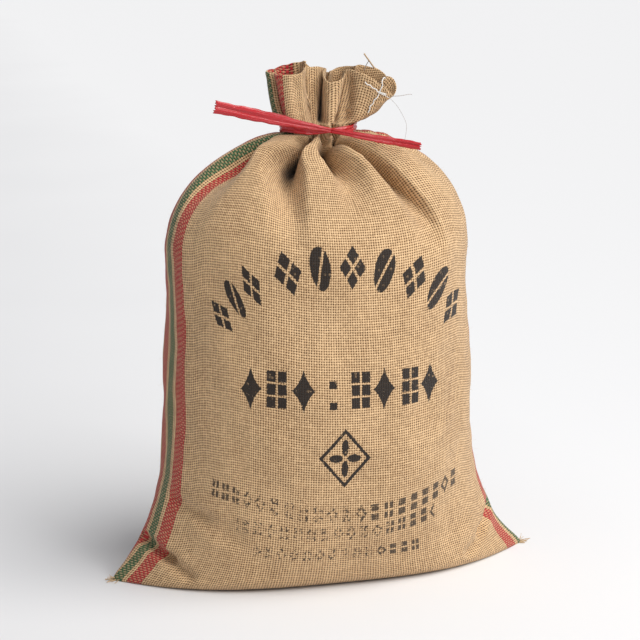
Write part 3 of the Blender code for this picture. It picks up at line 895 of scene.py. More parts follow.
# %% The inside of the frill
def inside_of_frill(outer):
    """The inside, from the rounded rim down to where the cloth is drawn together."""
    frill = outer[[j for j, row in enumerate(rows) if row.flare > 0]]
    around = np.roll(frill, -1, axis=1) - np.roll(frill, 1, axis=1)
    inward = unit(np.stack([-around[..., 1], around[..., 0], np.zeros_like(around[..., 0])], axis=2))
    rim = outer[-1]
    rings = []
    for turn in ROUND_RIM:
        share = (1 - math.cos(math.radians(turn))) / 2
        ring = rim + inward[-1] * CLOTH_THICKNESS * share
        ring[:, 2] += CLOTH_THICKNESS / 2 * math.sin(math.radians(turn))
        rings.append(ring)
    inner = frill + inward * CLOTH_THICKNESS
    bottom = CAVITY_FLOOR + CAVITY_SLOPE * rim[:, 0]
    for t in np.linspace(0, 1, CAVITY_ROWS + 1):
        height = rim[:, 2] * (1 - t) + bottom * t
        ring = np.zeros_like(rim)
        for i in range(len(rim)):
            order = np.argsort(inner[:, i, 2])
            ring[i] = [np.interp(height[i], inner[order, i, 2], inner[order, i, axis]) for axis in range(3)]
        rings.append(ring)
    return np.array(rings)


inside = inside_of_frill(skin)
print("rings inside the frill:", len(inside))

# %% [markdown]
# Coordinates that follow the threads
#
# A weave has to run with the cloth. So each point gets two coordinates in metres: how far round the sack
# its warp thread is, and how far up along that thread it lies. On the body the first one is shared out
# evenly, as the cloth there is a plain tube. Near the neck it is measured from the crest of each ridge
# instead, so that the threads keep their spacing and the spare cloth vanishes in the valleys, as it does
# in a real gather. Such a layer is what Blender calls a UV map.

# %% Cloth coordinates
THREAD_PITCH = 0.00285
THREADS_ROUND = 344
CLOTH_ROUND = THREAD_PITCH * THREADS_ROUND
TWIST_HEIGHTS = (0.0, 0.05, 0.10, 0.20, 0.30, 0.40, 0.51)
TWIST_MM = (6, 16, 19, 23, 19, 13, 9)
RIGHT_TWIST_MM = (0, 0, 0, 0, 4, 24, 32)
TWIST_FULL = 0.065
TWIST_END = 0.150
RIGHT_TWIST_IN_FRILL = 20
RIGHT_TWIST_FULL = 0.03
RIGHT_TWIST_END = 0.24
WEFT_SAG = 0.008
WEFT_TILT = 0.008
WEFT_BLUR = range(-7, 8)
# Where the striped cloth comes out again above the tie: the shift of each ridge's threads there, in mm
FRILL_SHIFTS = {"left back": 5, "left side": -61, "right side": 60, "back left": 80}


def near_side_fold(share, full, end):
    """1 at a side fold, where share is a whole number, and 0 away from it."""
    return 1 - smooth((np.abs(share - np.round(share)) - full) / (end - full))


def thread_numbers(rings, weights, heights, above_tie):
    """How far round each point is, in metres of cloth, at both ends of every column of faces."""
    body, _, _ = body_shares()
    count = len(ridge)
    left = np.zeros(rings.shape[:2])
    right = np.zeros(rings.shape[:2])
    shifts = np.array([FRILL_SHIFTS.get(fold.name, 0) for fold in FOLDS]) * MM
    ends = [*valleys[1:], count]
    for j, ring in enumerate(rings):
        step = np.linalg.norm(np.roll(ring, -1, axis=0) - ring, axis=1)
        along = np.concatenate([[0], np.cumsum(step)])
        twist = np.interp(heights[j], TWIST_HEIGHTS, TWIST_MM) * MM
        right_twist = np.interp(heights[j], TWIST_HEIGHTS, RIGHT_TWIST_MM) * MM
        if above_tie[j]:
            right_twist = RIGHT_TWIST_IN_FRILL * MM
        for k, (first, last) in enumerate(zip(valleys, ends)):
            span = np.arange(first, last + 1)
            share = np.interp(span, [*range(count), count], [*body, body[0] + 1.0])
            crest = (first + last) // 2
            measured = share[crest - first] * CLOTH_ROUND + along[span] - along[crest]
            near_left = near_side_fold(share, TWIST_FULL, TWIST_END)
            near_right = near_side_fold(share - 0.5, RIGHT_TWIST_FULL, RIGHT_TWIST_END)
            place = share * CLOTH_ROUND * (1 - weights[j]) + measured * weights[j]
            place -= twist * near_left + right_twist * near_right
            if above_tie[j]:
                place += shifts[k]
            left[j, first:last] = place[:-1]
            right[j, first:last] = place[1:]
    return left, right


def weft_numbers(rings):
    """How far up its own warp thread each point lies."""
    step = np.linalg.norm(np.diff(rings, axis=0), axis=2)
    climb = np.concatenate([np.zeros((1, rings.shape[1])), np.cumsum(step, axis=0)])
    climb = sum(np.roll(climb, shift, axis=1) for shift in WEFT_BLUR) / len(WEFT_BLUR)
    body, _, _ = body_shares()
    turn = 2 * math.pi * body
    return climb + WEFT_SAG * np.sin(turn) ** 2 - WEFT_TILT * np.cos(turn)


rings = np.concatenate([skin, inside])
gather = np.array([row.gather for row in rows] + [1.0] * len(inside))
above_tie = np.array([row.flare > 0 for row in rows] + [True] * len(inside))
heights = [row.z for row in rows] + [NECK_HEIGHT] * len(inside)
warp_left, warp_right = thread_numbers(rings, smooth(gather * 2.0), heights, above_tie)
weft = weft_numbers(rings)
print("warp threads round the sack:", THREADS_ROUND)

# %% [markdown]
# The cloth as a mesh
#
# The rings are joined, the sole is closed with smaller and smaller rings, and the inside of the frill
# runs down to a point at the neck. Every corner of every face gets its own pair of cloth coordinates, since
# two faces that meet in a valley show different threads there. One more number at each point says how
# deep it lies in a gather or a slit of the frill, and there the material paints the cloth darker: painted
# shade.

# %% Build the cloth
SOLE_RINGS = (0.75, 0.5, 0.25)
# How deep in a gather, and in a slit of the frill, the painted shade begins and where it is full
HOLLOW_START = 0.017
HOLLOW_FULL = 0.038
SLIT_HOLLOW = 0.010
FUNNEL_THREAD = 0.01


def cloth_mesh():
    count = len(ridge)
    sole = [skin[0] * (share, share, 0) for share in reversed(SOLE_RINGS)]
    stack = np.concatenate([sole, rings])
    spare = len(sole)
    funnel = stack[-1].mean(axis=0) * (1, 1, 0) + (0, 0, NECK_HEIGHT + NECK_LENGTH / 2)
    points = np.concatenate([stack.reshape(-1, 3), [(0, 0, 0)], [funnel]])
    faces = []
    places = []
    for j in range(len(stack) - 1):
        k = j - spare
        for i in range(count):
            n = (i + 1) % count
            corners = (j * count + i, j * count + n, (j + 1) * count + n, (j + 1) * count + i)
            faces.append(corners)
            if k < 0:
                places += [tuple(points[c][:2]) for c in corners]
            else:
                places += [(warp_left[k, i], weft[k, i]), (warp_right[k, i], weft[k, n])]
                places += [(warp_right[k + 1, i], weft[k + 1, n]), (warp_left[k + 1, i], weft[k + 1, i])]
    middle = len(stack) * count
    last = (len(stack) - 1) * count
    for i in range(count):
        n = (i + 1) % count
        faces.append((n, i, middle))
        faces.append((last + i, last + n, middle + 1))
        places += [tuple(points[c][:2]) for c in (n, i, middle)]
        places += [(warp_left[-1, i], weft[-1, i]), (warp_right[-1, i], weft[-1, n])]
        places += [(warp_left[-1, i], weft[-1, i] + FUNNEL_THREAD)]
    mesh = bpy.data.meshes.new("sack_cloth")
    mesh.from_pydata(points.tolist(), [], faces)
    layer = mesh.uv_layers.new(name="cloth")
    layer.data.foreach_set("uv", np.array(places).ravel())
    hollow = np.zeros(len(points))
    first = spare * count
    # Painted shade: the deeper a point lies in a gather or a slit, the darker the cloth is painted
    deep = smooth((gathers - HOLLOW_START) / (HOLLOW_FULL - HOLLOW_START)) + smooth(slits / SLIT_HOLLOW)
    hollow[first:first + skin.shape[0] * count] = deep.ravel()
    mesh.attributes.new("hollow", "FLOAT", "POINT").data.foreach_set("value", hollow)
    mesh.update()
    return mesh


sack_cloth = new_object("sack_cloth", cloth_mesh())
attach(sack_cloth, "root")
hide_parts("sack")
print("faces of the cloth:", len(sack_cloth.data.polygons))

# %% [markdown]
# The weave
#
# Jute sacking is a plain weave: each thread goes over one and under the next. A thread seen from the side
# is round, so its height falls away from its middle, and it rises and dips along its length. The material
# works out the height of the warp and of the weft at each point and shows the higher one. Where neither
# reaches, there is a small dark hole. Real yarn wanders and varies in thickness and in colour, so noise
# shifts the threads, widens them and tints each one.

# %% Weave of the cloth
# Dark brown for the holes between the threads, and also for the painted shade deep in the gathers
HOLE_AND_SHADE_BROWN = (0.030, 0.014, 0.005, 1)
STRAW = (0.76, 0.50, 0.265, 1)
DARK_STRAW = (0.40, 0.225, 0.100, 1)
# The next two colours are painted light on the tops of the threads and painted shade on their sides
LIT_STRAW = (0.90, 0.68, 0.43, 1)
SHADED_STRAW = (0.26, 0.175, 0.12, 1)
# How strongly the cloth is painted dark brown deep in the gathers: painted shade
HOLLOW_PAINTED_SHADE = 0.86
YARN_HALF_WIDTH = 0.328
YARN_UNEVEN = 0.24
YARN_UNDULATION = 0.55
WANDERS = ((0.42, 16.0), (0.24, 130.0))
SLUB_SCALE = 60.0
SLUB_JUMP = 0.73
Threads = namedtuple("Threads", "u v column line warp_shows height warp_tint weft_tint knot_tint")
# How much the thread's tint, the knot's tint, patches and streaks each lighten the straw
THREAD_SHARE = 0.3
KNOT_SHARE = 0.5
PATCH_SHARE = 0.8
STREAK_SHARE = 0.5
SHADE_FLOOR = 0.42
PATCH_SCALE = 14.0
STREAK_ACROSS = 900.0
STREAK_ALONG = 120.0
# How the tops of the threads are painted lighter and their sides darker: painted light and painted shade
TOP_HEIGHT = 1.1
TOP_STEEPNESS = 1.6
TOP_PAINTED_LIGHT = 0.75
SIDE_STEEPNESS = 0.75
SIDE_SHADE = 0.9
HOLE_HEIGHT = 0.35
HOLE_SOFTNESS = 0.4
FIBRE_SCALE = 2500.0
FIBRE_RELIEF = 0.3
WEAVE_BUMP = 0.7
WEAVE_BUMP_HEIGHT = 0.0006


def yarn(tree, across_yarn, along_yarn, over, thickness):
    """The height of one set of threads: round across each thread, and up or down where they cross."""
    reach = (across_yarn / thickness).size()
    round_top = (reach * reach).opposite().larger(0.0).step("SQRT")
    wave = (along_yarn * math.pi).step("COSINE")
    height = round_top + wave * over * YARN_UNDULATION
    present = reach.below(1.0, 0.12)
    return height * present + (present.opposite() * -3.0)


def weave(tree):
    """Everything the cloth's material needs to know about its threads."""
    u, v = surface_place(tree, "cloth")
    x = u / THREAD_PITCH
    y = v / THREAD_PITCH
    for amount, scale in WANDERS:
        x = x + (noise(tree, combined(tree, u, v), scale) - 0.5) * amount
        y = y + (noise(tree, combined(tree, v, u, 3.7), scale) - 0.5) * amount
    column = x.whole()
    line = y.whole()
    parity = ((column + line) * 0.5).part() * 2.0
    over = parity * 2.0 - 1.0
    fx = x.part() - 0.5
    fy = y.part() - 0.5
    warp_slub = noise(tree, combined(tree, column * SLUB_JUMP, v * SLUB_SCALE), 1.0)
    weft_slub = noise(tree, combined(tree, u * SLUB_SCALE, line * SLUB_JUMP), 1.0)
    warp_width = warp_slub * YARN_UNEVEN + (YARN_HALF_WIDTH - YARN_UNEVEN / 2)
    weft_width = weft_slub * YARN_UNEVEN + (YARN_HALF_WIDTH - YARN_UNEVEN / 2)
    warp_height = yarn(tree, fx, fy, over, warp_width)
    weft_height = yarn(tree, fy, fx, over * -1.0, weft_width)
    warp_shows = (weft_height - warp_height).below(0.0, 0.1)
    height = warp_height.larger(weft_height).larger(-1.0)
    warp_tint = dice_roll(tree, combined(tree, column, 0.5))
    weft_tint = dice_roll(tree, combined(tree, line, 7.5))
    knot_tint = dice_roll(tree, combined(tree, column, line, 3.5))
    return Threads(u, v, column, line, warp_shows, height, warp_tint, weft_tint, knot_tint)


def jute_material():
    material, tree, shader = new_material("jute weave")
    threads = weave(tree)
    tint = threads.warp_tint * threads.warp_shows + threads.weft_tint * threads.warp_shows.opposite()
    patches = noise(tree, combined(tree, threads.u, threads.v), PATCH_SCALE, 4.0)
    streaks = noise(tree, combined(tree, threads.u * STREAK_ACROSS, threads.v * STREAK_ALONG), 1.0, 3.0)
    shade = tint * THREAD_SHARE + threads.knot_tint * KNOT_SHARE
    shade = (shade + patches * PATCH_SHARE + streaks * STREAK_SHARE - SHADE_FLOOR).clamped()
    colour = colour_mix(tree, shade, DARK_STRAW, STRAW)
    # Painted light: the highest parts of the threads, where they cross over, are painted paler
    top = (threads.height - TOP_HEIGHT).step("MULTIPLY", TOP_STEEPNESS, clamp=True)
    colour = colour_mix(tree, top * TOP_PAINTED_LIGHT, colour, LIT_STRAW)
    colour = striped(tree, threads, colour)
    colour = printed(tree, threads, colour)
    # Painted shade: the lower sides of the threads, where they dip under, are painted darker
    side = (threads.height * -SIDE_STEEPNESS).step("ADD", SIDE_STEEPNESS, clamp=True)
    colour = colour_mix(tree, side * SIDE_SHADE, colour, SHADED_STRAW, "MULTIPLY")
    depth = (threads.height + HOLE_HEIGHT + threads.knot_tint * KNOT_SHARE).below(0.0, HOLE_SOFTNESS)
    colour = colour_mix(tree, depth, colour, HOLE_AND_SHADE_BROWN)
    # Painted shade: the cloth is painted dark brown deep in the gathers and the slits of the frill
    hollow = tree.nodes.new("ShaderNodeAttribute")
    hollow.attribute_name = "hollow"
    shaded = Number(tree, hollow.outputs["Fac"]).step("MULTIPLY", HOLLOW_PAINTED_SHADE, clamp=True)
    colour = colour_mix(tree, shaded, colour, HOLE_AND_SHADE_BROWN)
    tree.links.new(colour, shader.inputs["Base Color"])
    fine = noise(tree, combined(tree, threads.u * FIBRE_SCALE, threads.v * FIBRE_SCALE), 1.0)
    add_bump(tree, shader, threads.height + fine * FIBRE_RELIEF, WEAVE_BUMP, WEAVE_BUMP_HEIGHT)
    set_sockets(shader, {"Roughness": 0.85, "Specular IOR Level": 0.25})
    set_sockets(shader, {"Sheen Weight": 0.15, "Sheen Roughness": 0.5})
    return material


# %% [markdown]
# Coloured stripes
#
# Sacking is sold with coloured warp threads near its edges: here a green band between two red ones, at
# both side folds. Only the warp is dyed, so the plain weft shows between the coloured dots. The stripes
# are therefore picked by the number of the warp thread, not painted over the cloth.

# %% Stripes
STRIPE_RED = (0.50, 0.022, 0.032, 1)
STRIPE_GREEN = (0.018, 0.125, 0.052, 1)
GREEN_THREADS = 1.6
RED_CENTRE = 7.0
RED_THREADS = 2.6
WEFT_DYED = 0.55


def striped(tree, threads, colour):
    """The cloth's colour with its dyed warp threads."""
    half = THREADS_ROUND / 2
    from_fold = ((threads.column + 0.5) / half + 0.5).part() * half - half / 2
    distance = from_fold.size()
    coverage = threads.warp_shows * (1 - WEFT_DYED) + WEFT_DYED
    green = distance.below(GREEN_THREADS, 0.02) * coverage
    red = (distance - RED_CENTRE).size().below(RED_THREADS, 0.02) * coverage
    fading = noise(tree, combined(tree, threads.u * 300.0, threads.v * 50.0), 1.0) * 0.3 + 0.80
    colour = colour_mix(tree, (green * fading).clamped(), colour, STRIPE_GREEN)
    return colour_mix(tree, (red * fading).clamped(), colour, STRIPE_RED)


# %% [markdown]
# The print
#
# A real sack says what is in it. This one carries no words: an arch of cut lozenges and grains, a row of
# stars and blocks of squares with two dots, a diamond round four grains, and three worn rows of small
# stamps. Each shape is a sum of distances in the cloth's own coordinates. The ink sits on the tops of
# the threads and leaves the holes open, and it is worn away where the sack has been rubbed.

# %% Shapes of the print
INK = (0.012, 0.011, 0.012, 1)
INK_EDGE = 0.0006
PRINT_CENTRE = 0.245
PRINT_RAGGED = 0.0024
RAG_SCALE = 420.0
RUB_SCALE = 700.0
RUB_CONTRAST = 2.0
BARE_KNOTS = 0.05
BARENESS = 0.6
INK_HEIGHT = 0.4
INK_STEEPNESS = 2.2
INK_LEFT = 0.40
INK_DARKNESS = 0.97


def box_shape(x, y, half_width, half_height):
    """1 inside an upright box round the middle of x and y."""
    return x.size().below(half_width, INK_EDGE) * y.size().below(half_height, INK_EDGE)


def lozenge(x, y, half_width, half_height):
    """1 inside a diamond round the middle of x and y."""
    reach = x.size() / half_width + y.size() / half_height
    return reach.below(1.0, INK_EDGE / half_height)


def repeated(x, pitch):
    """The number of each repeat along x, and the place inside it from its middle."""
    steps = x / pitch
    return steps.whole(), (steps.part() - 0.5) * pitch


def between(number, low, high):
    """1 where a whole number lies from low to high."""
    middle = (low + high) / 2
    return (number - middle).size().below((high - low) / 2 + 0.5, 0.01)


def odd(number):
    """1 for an odd whole number and 0 for an even one."""
    return (number * 0.5).part() * 2.0


def together(shapes):
    """1 where any of the shapes is 1."""
    first, *others = shapes
    for shape in others:
        first = first.larger(shape)
    return first


def printed(tree, threads, colour):
    """The cloth's colour with its print."""
    ragged = noise(tree, combined(tree, threads.u, threads.v, 5.0), RAG_SCALE) - 0.5
    x = threads.u + ragged * PRINT_RAGGED - PRINT_CENTRE
    v = threads.v + ragged * PRINT_RAGGED
    ink = together((arch(x, v), stamp_row(x, v), emblem(x, v), small_rows(tree, x, v)))
    rubbed = noise(tree, combined(tree, threads.u * RUB_SCALE, threads.v * RUB_SCALE), 1.0, 3.0)
    bare = dice_roll(tree, combined(tree, threads.column, threads.line)).below(BARE_KNOTS, 0.04)
    grip = (threads.height + INK_HEIGHT).step("MULTIPLY", INK_STEEPNESS, clamp=True)
    grip = grip * (rubbed * RUB_CONTRAST - bare * BARENESS).step("ADD", INK_LEFT, clamp=True)
    return colour_mix(tree, (ink * grip * INK_DARKNESS).clamped(), colour, INK)


# %% Arch of the print
ARCH_CENTRE_V = 0.197
ARCH_RADIUS = 0.205
ARCH_HALF_HEIGHT = 0.024
# Each run of the arch: the middle of its first shape along the arch, the pitch, the half width, how many
ARCH_RUNS = ((-0.1746, 0.0295, 0.0120, 3), (-0.0680, 0.0388, 0.0165, 7))


def four_lozenges(x, y, half_width, half_height):
    """A diamond that is cut crosswise into four small ones."""
    one_way = (x / half_width + y / half_height).size()
    other_way = (x / half_width - y / half_height).size()
    cuts = one_way.smaller(other_way).below(0.12, 0.06).opposite()
    return one_way.larger(other_way).below(1.0, 0.05) * cuts


def split_grain(x, y, half_width, half_height):
    """A long grain with a slanted slit down its middle."""
    reach = (x / half_width) * (x / half_width) + (y / half_height) * (y / half_height)
    slit = (x - y * 0.3).size().below(0.0014, INK_EDGE).opposite()
    return reach.below(1.0, 0.08) * slit


def arch(x, v):
    """Ten stencilled shapes on an arch, the first three of them set apart and closer together."""
    drop = v - ARCH_CENTRE_V
    out = (x * x + drop * drop).step("SQRT") - ARCH_RADIUS
    along_arch = x.step("ARCTAN2", drop) * ARCH_RADIUS
    runs = []
    for first, pitch, half_width, count in ARCH_RUNS:
        number, along = repeated(along_arch - (first - pitch / 2), pitch)
        diamond = four_lozenges(along, out, half_width, ARCH_HALF_HEIGHT)
        grain = split_grain(along, out, half_width * 0.72, ARCH_HALF_HEIGHT)
        stamps = diamond * odd(number).opposite() + grain * odd(number)
        runs.append(stamps * between(number, 0, count - 1))
    return together(runs)


# %% Middle row of the print
ROW_V = 0.268
ROW_TILT = -0.018
ROW_BEND = 0.60
ROW_HALF_HEIGHT = 0.0215
STAR_HALF_WIDTH = 0.0138
SQUARE_HALF = 0.0050
# The middles of the tall shapes from the print's middle, stars and blocks of squares by turns
ROW_PLACES = (-0.109, -0.079, -0.049, 0.016, 0.044, 0.0775, 0.1055)
DOTS_PLACE = -0.016


def stamp_row(x, v):
    """Stars and blocks of small squares by turns, with two dots between them."""
    y = v - ROW_V + x * x * ROW_BEND + x * ROW_TILT
    dots = box_shape(x - DOTS_PLACE, (y + 0.005).size() - 0.0115, 0.0042, 0.0042)
    for number, place in enumerate(ROW_PLACES):
        along = x - place
        if number % 2:
            third = ROW_HALF_HEIGHT * 2 / 3
            square_row, up = repeated(y + ROW_HALF_HEIGHT, third)
            squares = box_shape(along.size() - 0.0062, up, SQUARE_HALF, SQUARE_HALF * 1.2)
            shape = squares * between(square_row, 0, 2)
        else:
            reach = (along.size() / STAR_HALF_WIDTH).step("POWER", 0.75)
            reach = reach + (y.size() / (ROW_HALF_HEIGHT * 1.15)).step("POWER", 0.75)
            shape = reach.below(1.0, 0.05)
        dots = dots.larger(shape)
    return dots


# %% Emblem of the print
EMBLEM_V = 0.191
EMBLEM_PLACE = -0.002
EMBLEM_HALF_WIDTH = 0.030
EMBLEM_HALF_HEIGHT = 0.0345
EMBLEM_INNER = 0.84
# Each grain of the emblem: how far aside and how far up it lies, and its half width and half height
EMBLEM_GRAINS = (
    (0.0105, 0.0, 0.0078, 0.0046),
    (-0.0105, 0.0, 0.0078, 0.0046),
    (0.0, 0.0125, 0.0040, 0.0095),
    (0.0, -0.0125, 0.0040, 0.0095),
)


def emblem(x, v):
    """A diamond outline round four grains set crosswise."""
    x = x - EMBLEM_PLACE
    y = v - EMBLEM_V
    outer = lozenge(x, y, EMBLEM_HALF_WIDTH, EMBLEM_HALF_HEIGHT)
    inner = lozenge(x, y, EMBLEM_HALF_WIDTH * EMBLEM_INNER, EMBLEM_HALF_HEIGHT * EMBLEM_INNER)
    shapes = [outer * inner.opposite()]
    for aside, up, half_width, half_height in EMBLEM_GRAINS:
        grain_x = (x - aside) / half_width
        grain_y = (y - up) / half_height
        shapes.append((grain_x * grain_x + grain_y * grain_y).below(1.0, 0.15))
    return together(shapes)


# %% Small worn rows of the print
SmallRow = namedtuple("SmallRow", "height bend tilt half_height left right pitch faded_from faded_to")
SMALL_ROWS = (
    SmallRow(0.124, -0.62, 0.012, 0.0110, -0.170, 0.158, 0.0163, -0.128, 0.022),
    SmallRow(0.100, -0.30, 0.050, 0.0092, -0.125, 0.113, 0.0150, -0.130, 0.046),
    SmallRow(0.0730, 0.20, 0.010, 0.0080, -0.100, 0.090, 0.0140, -0.130, 0.040),
)
FADED_INK = 0.47
FULL_INK = 0.66
SPECK_SCALE = 330.0
SMALL_ROW_INK = 0.88


def small_rows(tree, x, v):
    """Three rows of small stamps that are rubbed down to specks on the left and in the middle."""
    specks = noise(tree, combined(tree, x, v, 9.0), SPECK_SCALE, 2.0)
    stamps = []
    for number, row in enumerate(SMALL_ROWS):
        y = v - row.height + x * x * row.bend - x * row.tilt
        count, along = repeated(x + 0.3, row.pitch)
        kind = dice_roll(tree, combined(tree, count, number + 40.0))
        diamond = lozenge(along, y, row.pitch * 0.44, row.half_height)
        diamond = diamond * lozenge(along, y, row.pitch * 0.20, row.half_height * 0.45).opposite()
        squares = box_shape(along, y.size() - row.half_height * 0.52,
                            row.pitch * 0.27, row.half_height * 0.38)
        four = box_shape(along.size() - row.pitch * 0.19, y.size() - row.half_height * 0.5,
                         row.pitch * 0.13, row.half_height * 0.36)
        shape = squares * kind.below(0.66, 0.01) * kind.below(0.33, 0.01).opposite()
        shape = shape + diamond * kind.below(0.33, 0.01) + four * kind.below(0.66, 0.01).opposite()
        middle = (row.left + row.right) / 2
        inside_row = (x - middle).size().below((row.right - row.left) / 2, INK_EDGE)
        faded_middle = (row.faded_from + row.faded_to) / 2
        faded = (x - faded_middle).size().below((row.faded_to - row.faded_from) / 2, 0.02)
        kept = (specks + faded * (FULL_INK - FADED_INK)).below(FULL_INK, 0.08)
        stamps.append(shape * inside_row * kept)
    return together(stamps) * SMALL_ROW_INK


sack_cloth.data.materials.append(jute_material())
print("nodes in the weave:", len(sack_cloth.data.materials[0].node_tree.nodes))

# %% [markdown]
# The plastic strip
#
# A flat strip of red plastic is wound once round the neck and crossed at the front. It is crushed into
# lengthwise pleats, and its two ends are left long. A strip is easy to make as rings too: each ring is
# the strip's cross section, with a few pleats across it, and the rings follow the strip's path. The strip
# is pinched where it crosses itself.

# %% Sizes of the strip
FIT_GAP = 0.0004
BAND_HEIGHT = 0.0092
BAND_STATIONS = 200
STRIP_THICKNESS = 0.0022
STRIP_WAIST = 0.0054
STRIP_POINTS = 33
STRIP_STATIONS = 70
FACETS = 2.0
FACET_DEPTH = 0.0011
FINE_PLEATS = ((7.0, 0.00010, 1.3), (11.0, 0.00006, 2.6))
KNOT = (0.006, -0.0335, NECK_HEIGHT)
LEFT_END = (-0.1195, -0.0160, NECK_HEIGHT + 0.0275)
LEFT_END_WIDTH = 0.0136
RIGHT_END = (0.0985, -0.0640, NECK_HEIGHT - 0.0165)
RIGHT_END_WIDTH = 0.0086
STRIP_BOW = 0.0012
STRIP_EDGE_POWER = 8
BACK_PLEATS = 0.7
TIP_JAGS = 0.0011
# How the free ends swell and shrink along their length: how much and how often
END_SWELLS = (0.05, 23, 0.04, 51)


def strip_ring(width, thickness, swing, pinch):
    """The strip seen from its end: across, out, and how far across each point is in metres of plastic."""
    side = np.linspace(-0.5, 0.5, STRIP_POINTS)
    facet = np.abs(np.cos(math.pi * (FACETS * side + 0.5 + 0.10 * swing))) - 0.6
    fine = sum(h * np.cos(side * 2 * math.pi * n + start + swing) for n, h, start in FINE_PLEATS)
    pleat = facet * FACET_DEPTH * (1 - 0.5 * pinch) + fine * (1 + pinch)
    edge = np.sqrt(np.clip(1 - (2 * np.abs(side)) ** STRIP_EDGE_POWER, 0.05, 1))
    front = np.stack([side * width, thickness / 2 * edge + pleat, side], axis=1)
    back = np.stack([side * width, -thickness / 2 * edge + pleat * BACK_PLEATS, side], axis=1)
    return np.concatenate([front, back[::-1]])


# %% Strip helpers
def strip_mesh(name, frames, closed):
    """A strip from its frames: place, across direction, out direction, ring, and distance along."""
    bm = bmesh.new()
    layer = bm.loops.layers.uv.new("strip")
    rings = []
    for place, wide, out, ring, _ in frames:
        points = place + wide * ring[:, :1] + out * ring[:, 1:2]
        rings.append([bm.verts.new(p) for p in points])
    spots = {}
    for ring_verts, (_, _, _, ring, along) in zip(rings, frames):
        for vert, side in zip(ring_verts, ring[:, 2]):
            spots[vert] = (along, side)
    joined_rings(bm, rings + rings[:1] if closed else rings)
    if not closed:
        for cap in (rings[0], rings[-1]):
            for i in range(STRIP_POINTS - 1):
                bm.faces.new((cap[i], cap[i + 1], cap[-2 - i], cap[-1 - i]))
    for face in bm.faces:
        for loop in face.loops:
            loop[layer].uv = spots[loop.vert]
    bmesh.ops.recalc_face_normals(bm, faces=bm.faces[:])
    return mesh_from(bm, name)


def turns_right(a, b, c):
    """True where the way from a over b to c doesn't turn left."""
    return (b[0] - a[0]) * (c[1] - a[1]) - (b[1] - a[1]) * (c[0] - a[0]) <= 0


def convex_outline(points):
    """The convex outline of some points seen from above."""
    order = sorted({(round(float(x), 6), round(float(y), 6)) for x, y in points})
    outline = []
    for run in (order, order[::-1]):
        half = []
        for p in run:
            while len(half) > 1 and turns_right(half[-2], half[-1], p):
                half.pop()
            half.append(p)
        outline += half[:-1]
    return np.array(outline)


# %% The turn round the neck
def band_mesh():
    """The strip's turn round the neck. It bridges the folds, and it is drawn together behind the knot."""
    neck = [j for j, row in enumerate(rows) if row.gather == 1.0 and row.flare == 0]
    outline = convex_outline(skin[neck].reshape(-1, 3)[:, :2])
    turn = np.linspace(0, 2 * math.pi, BAND_STATIONS, endpoint=False)
    facing = np.stack([np.cos(turn), np.sin(turn)], axis=1)
    aside = np.stack([-np.sin(turn), np.cos(turn)], axis=1)
    reach = (outline @ facing.T).max(axis=0) + FIT_GAP + STRIP_THICKNESS / 2 + 0.0005
    change = np.gradient(np.concatenate([reach[-1:], reach, reach[:1]]), turn[1])[1:-1]
    loop = facing * reach[:, None] + aside * change[:, None]
    frames = []
    length = 0.0
    for n, (place, out) in enumerate(zip(loop, facing)):
        length += np.linalg.norm(loop[n] - loop[n - 1]) if n else 0.0
        near_knot = math.exp(-((np.linalg.norm(place - np.array(KNOT[:2])) / 0.014) ** 2))
        width = BAND_HEIGHT * (1 - 0.45 * near_knot)
        tip = 0.0012 * math.sin(turn[n] * 2 + 0.6)
        ring = strip_ring(width, STRIP_THICKNESS * 0.8, 3 * math.sin(turn[n] * 3), near_knot)
        middle = np.array((*place, NECK_HEIGHT + tip))
        frames.append((middle, np.array((0.0, 0.0, 1.0)), np.array((*out, 0.0)), ring, length))
    return strip_mesh("band", frames, True)


# %% The two long ends
def end_mesh(name, end, end_width, seed):
    """One free end of the strip, from the knot to a ragged tip, growing wider on the way."""
    dice = np.random.default_rng(seed)
    start = np.array(KNOT)
    run = np.array(end) - start
    length = np.linalg.norm(run)
    run /= length
    out = np.array((0.0, -1.0, 0.0))
    out = unit(out - run * (out @ run))
    wide = np.cross(run, out)
    wide *= math.copysign(1, wide[2])
    jagged = np.repeat(dice.uniform(-1, 1, STRIP_POINTS // 3 + 1), 3)[:STRIP_POINTS] * TIP_JAGS
    large, slow, small, fast = END_SWELLS
    frames = []
    for t in np.linspace(0, 1, STRIP_STATIONS):
        swell = 1 + large * math.sin(slow * t + seed) + small * math.sin(fast * t)
        width = (STRIP_WAIST + (end_width - STRIP_WAIST) * smooth(t * 1.6)) * swell
        ring = strip_ring(width, STRIP_THICKNESS * (1.25 - 0.45 * smooth(t * 3)), math.sin(4 * t) * 2, 1 - t)
        place = start + run * length * t + out * (0.0006 + STRIP_BOW * math.sin(2 * math.pi * t))
        frames.append([place, wide, out, ring, length * t])
    mesh = strip_mesh(name, frames, False)
    tips = np.array([v.co for v in mesh.vertices])
    last = len(tips) - 2 * STRIP_POINTS
    for n, notch in enumerate([*jagged, *jagged[::-1]]):
        mesh.vertices[last + n].co = Vector(tips[last + n] + run * notch)
    return mesh


# %% Join the strip
def joined(name, meshes):
    """One mesh from several."""
    bm = bmesh.new()
    for mesh in meshes:
        bm.from_mesh(mesh)
        bpy.data.meshes.remove(mesh)
    return mesh_from(bm, name)


strip_parts = [
    band_mesh(),
    end_mesh("left end", LEFT_END, LEFT_END_WIDTH, 4),
    end_mesh("right end", RIGHT_END, RIGHT_END_WIDTH, 7),
]
plastic_strip = new_object("plastic_strip", joined("plastic_strip", strip_parts))
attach(plastic_strip, "root")
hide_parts("tie")
print("faces of the strip:", len(plastic_strip.data.polygons))

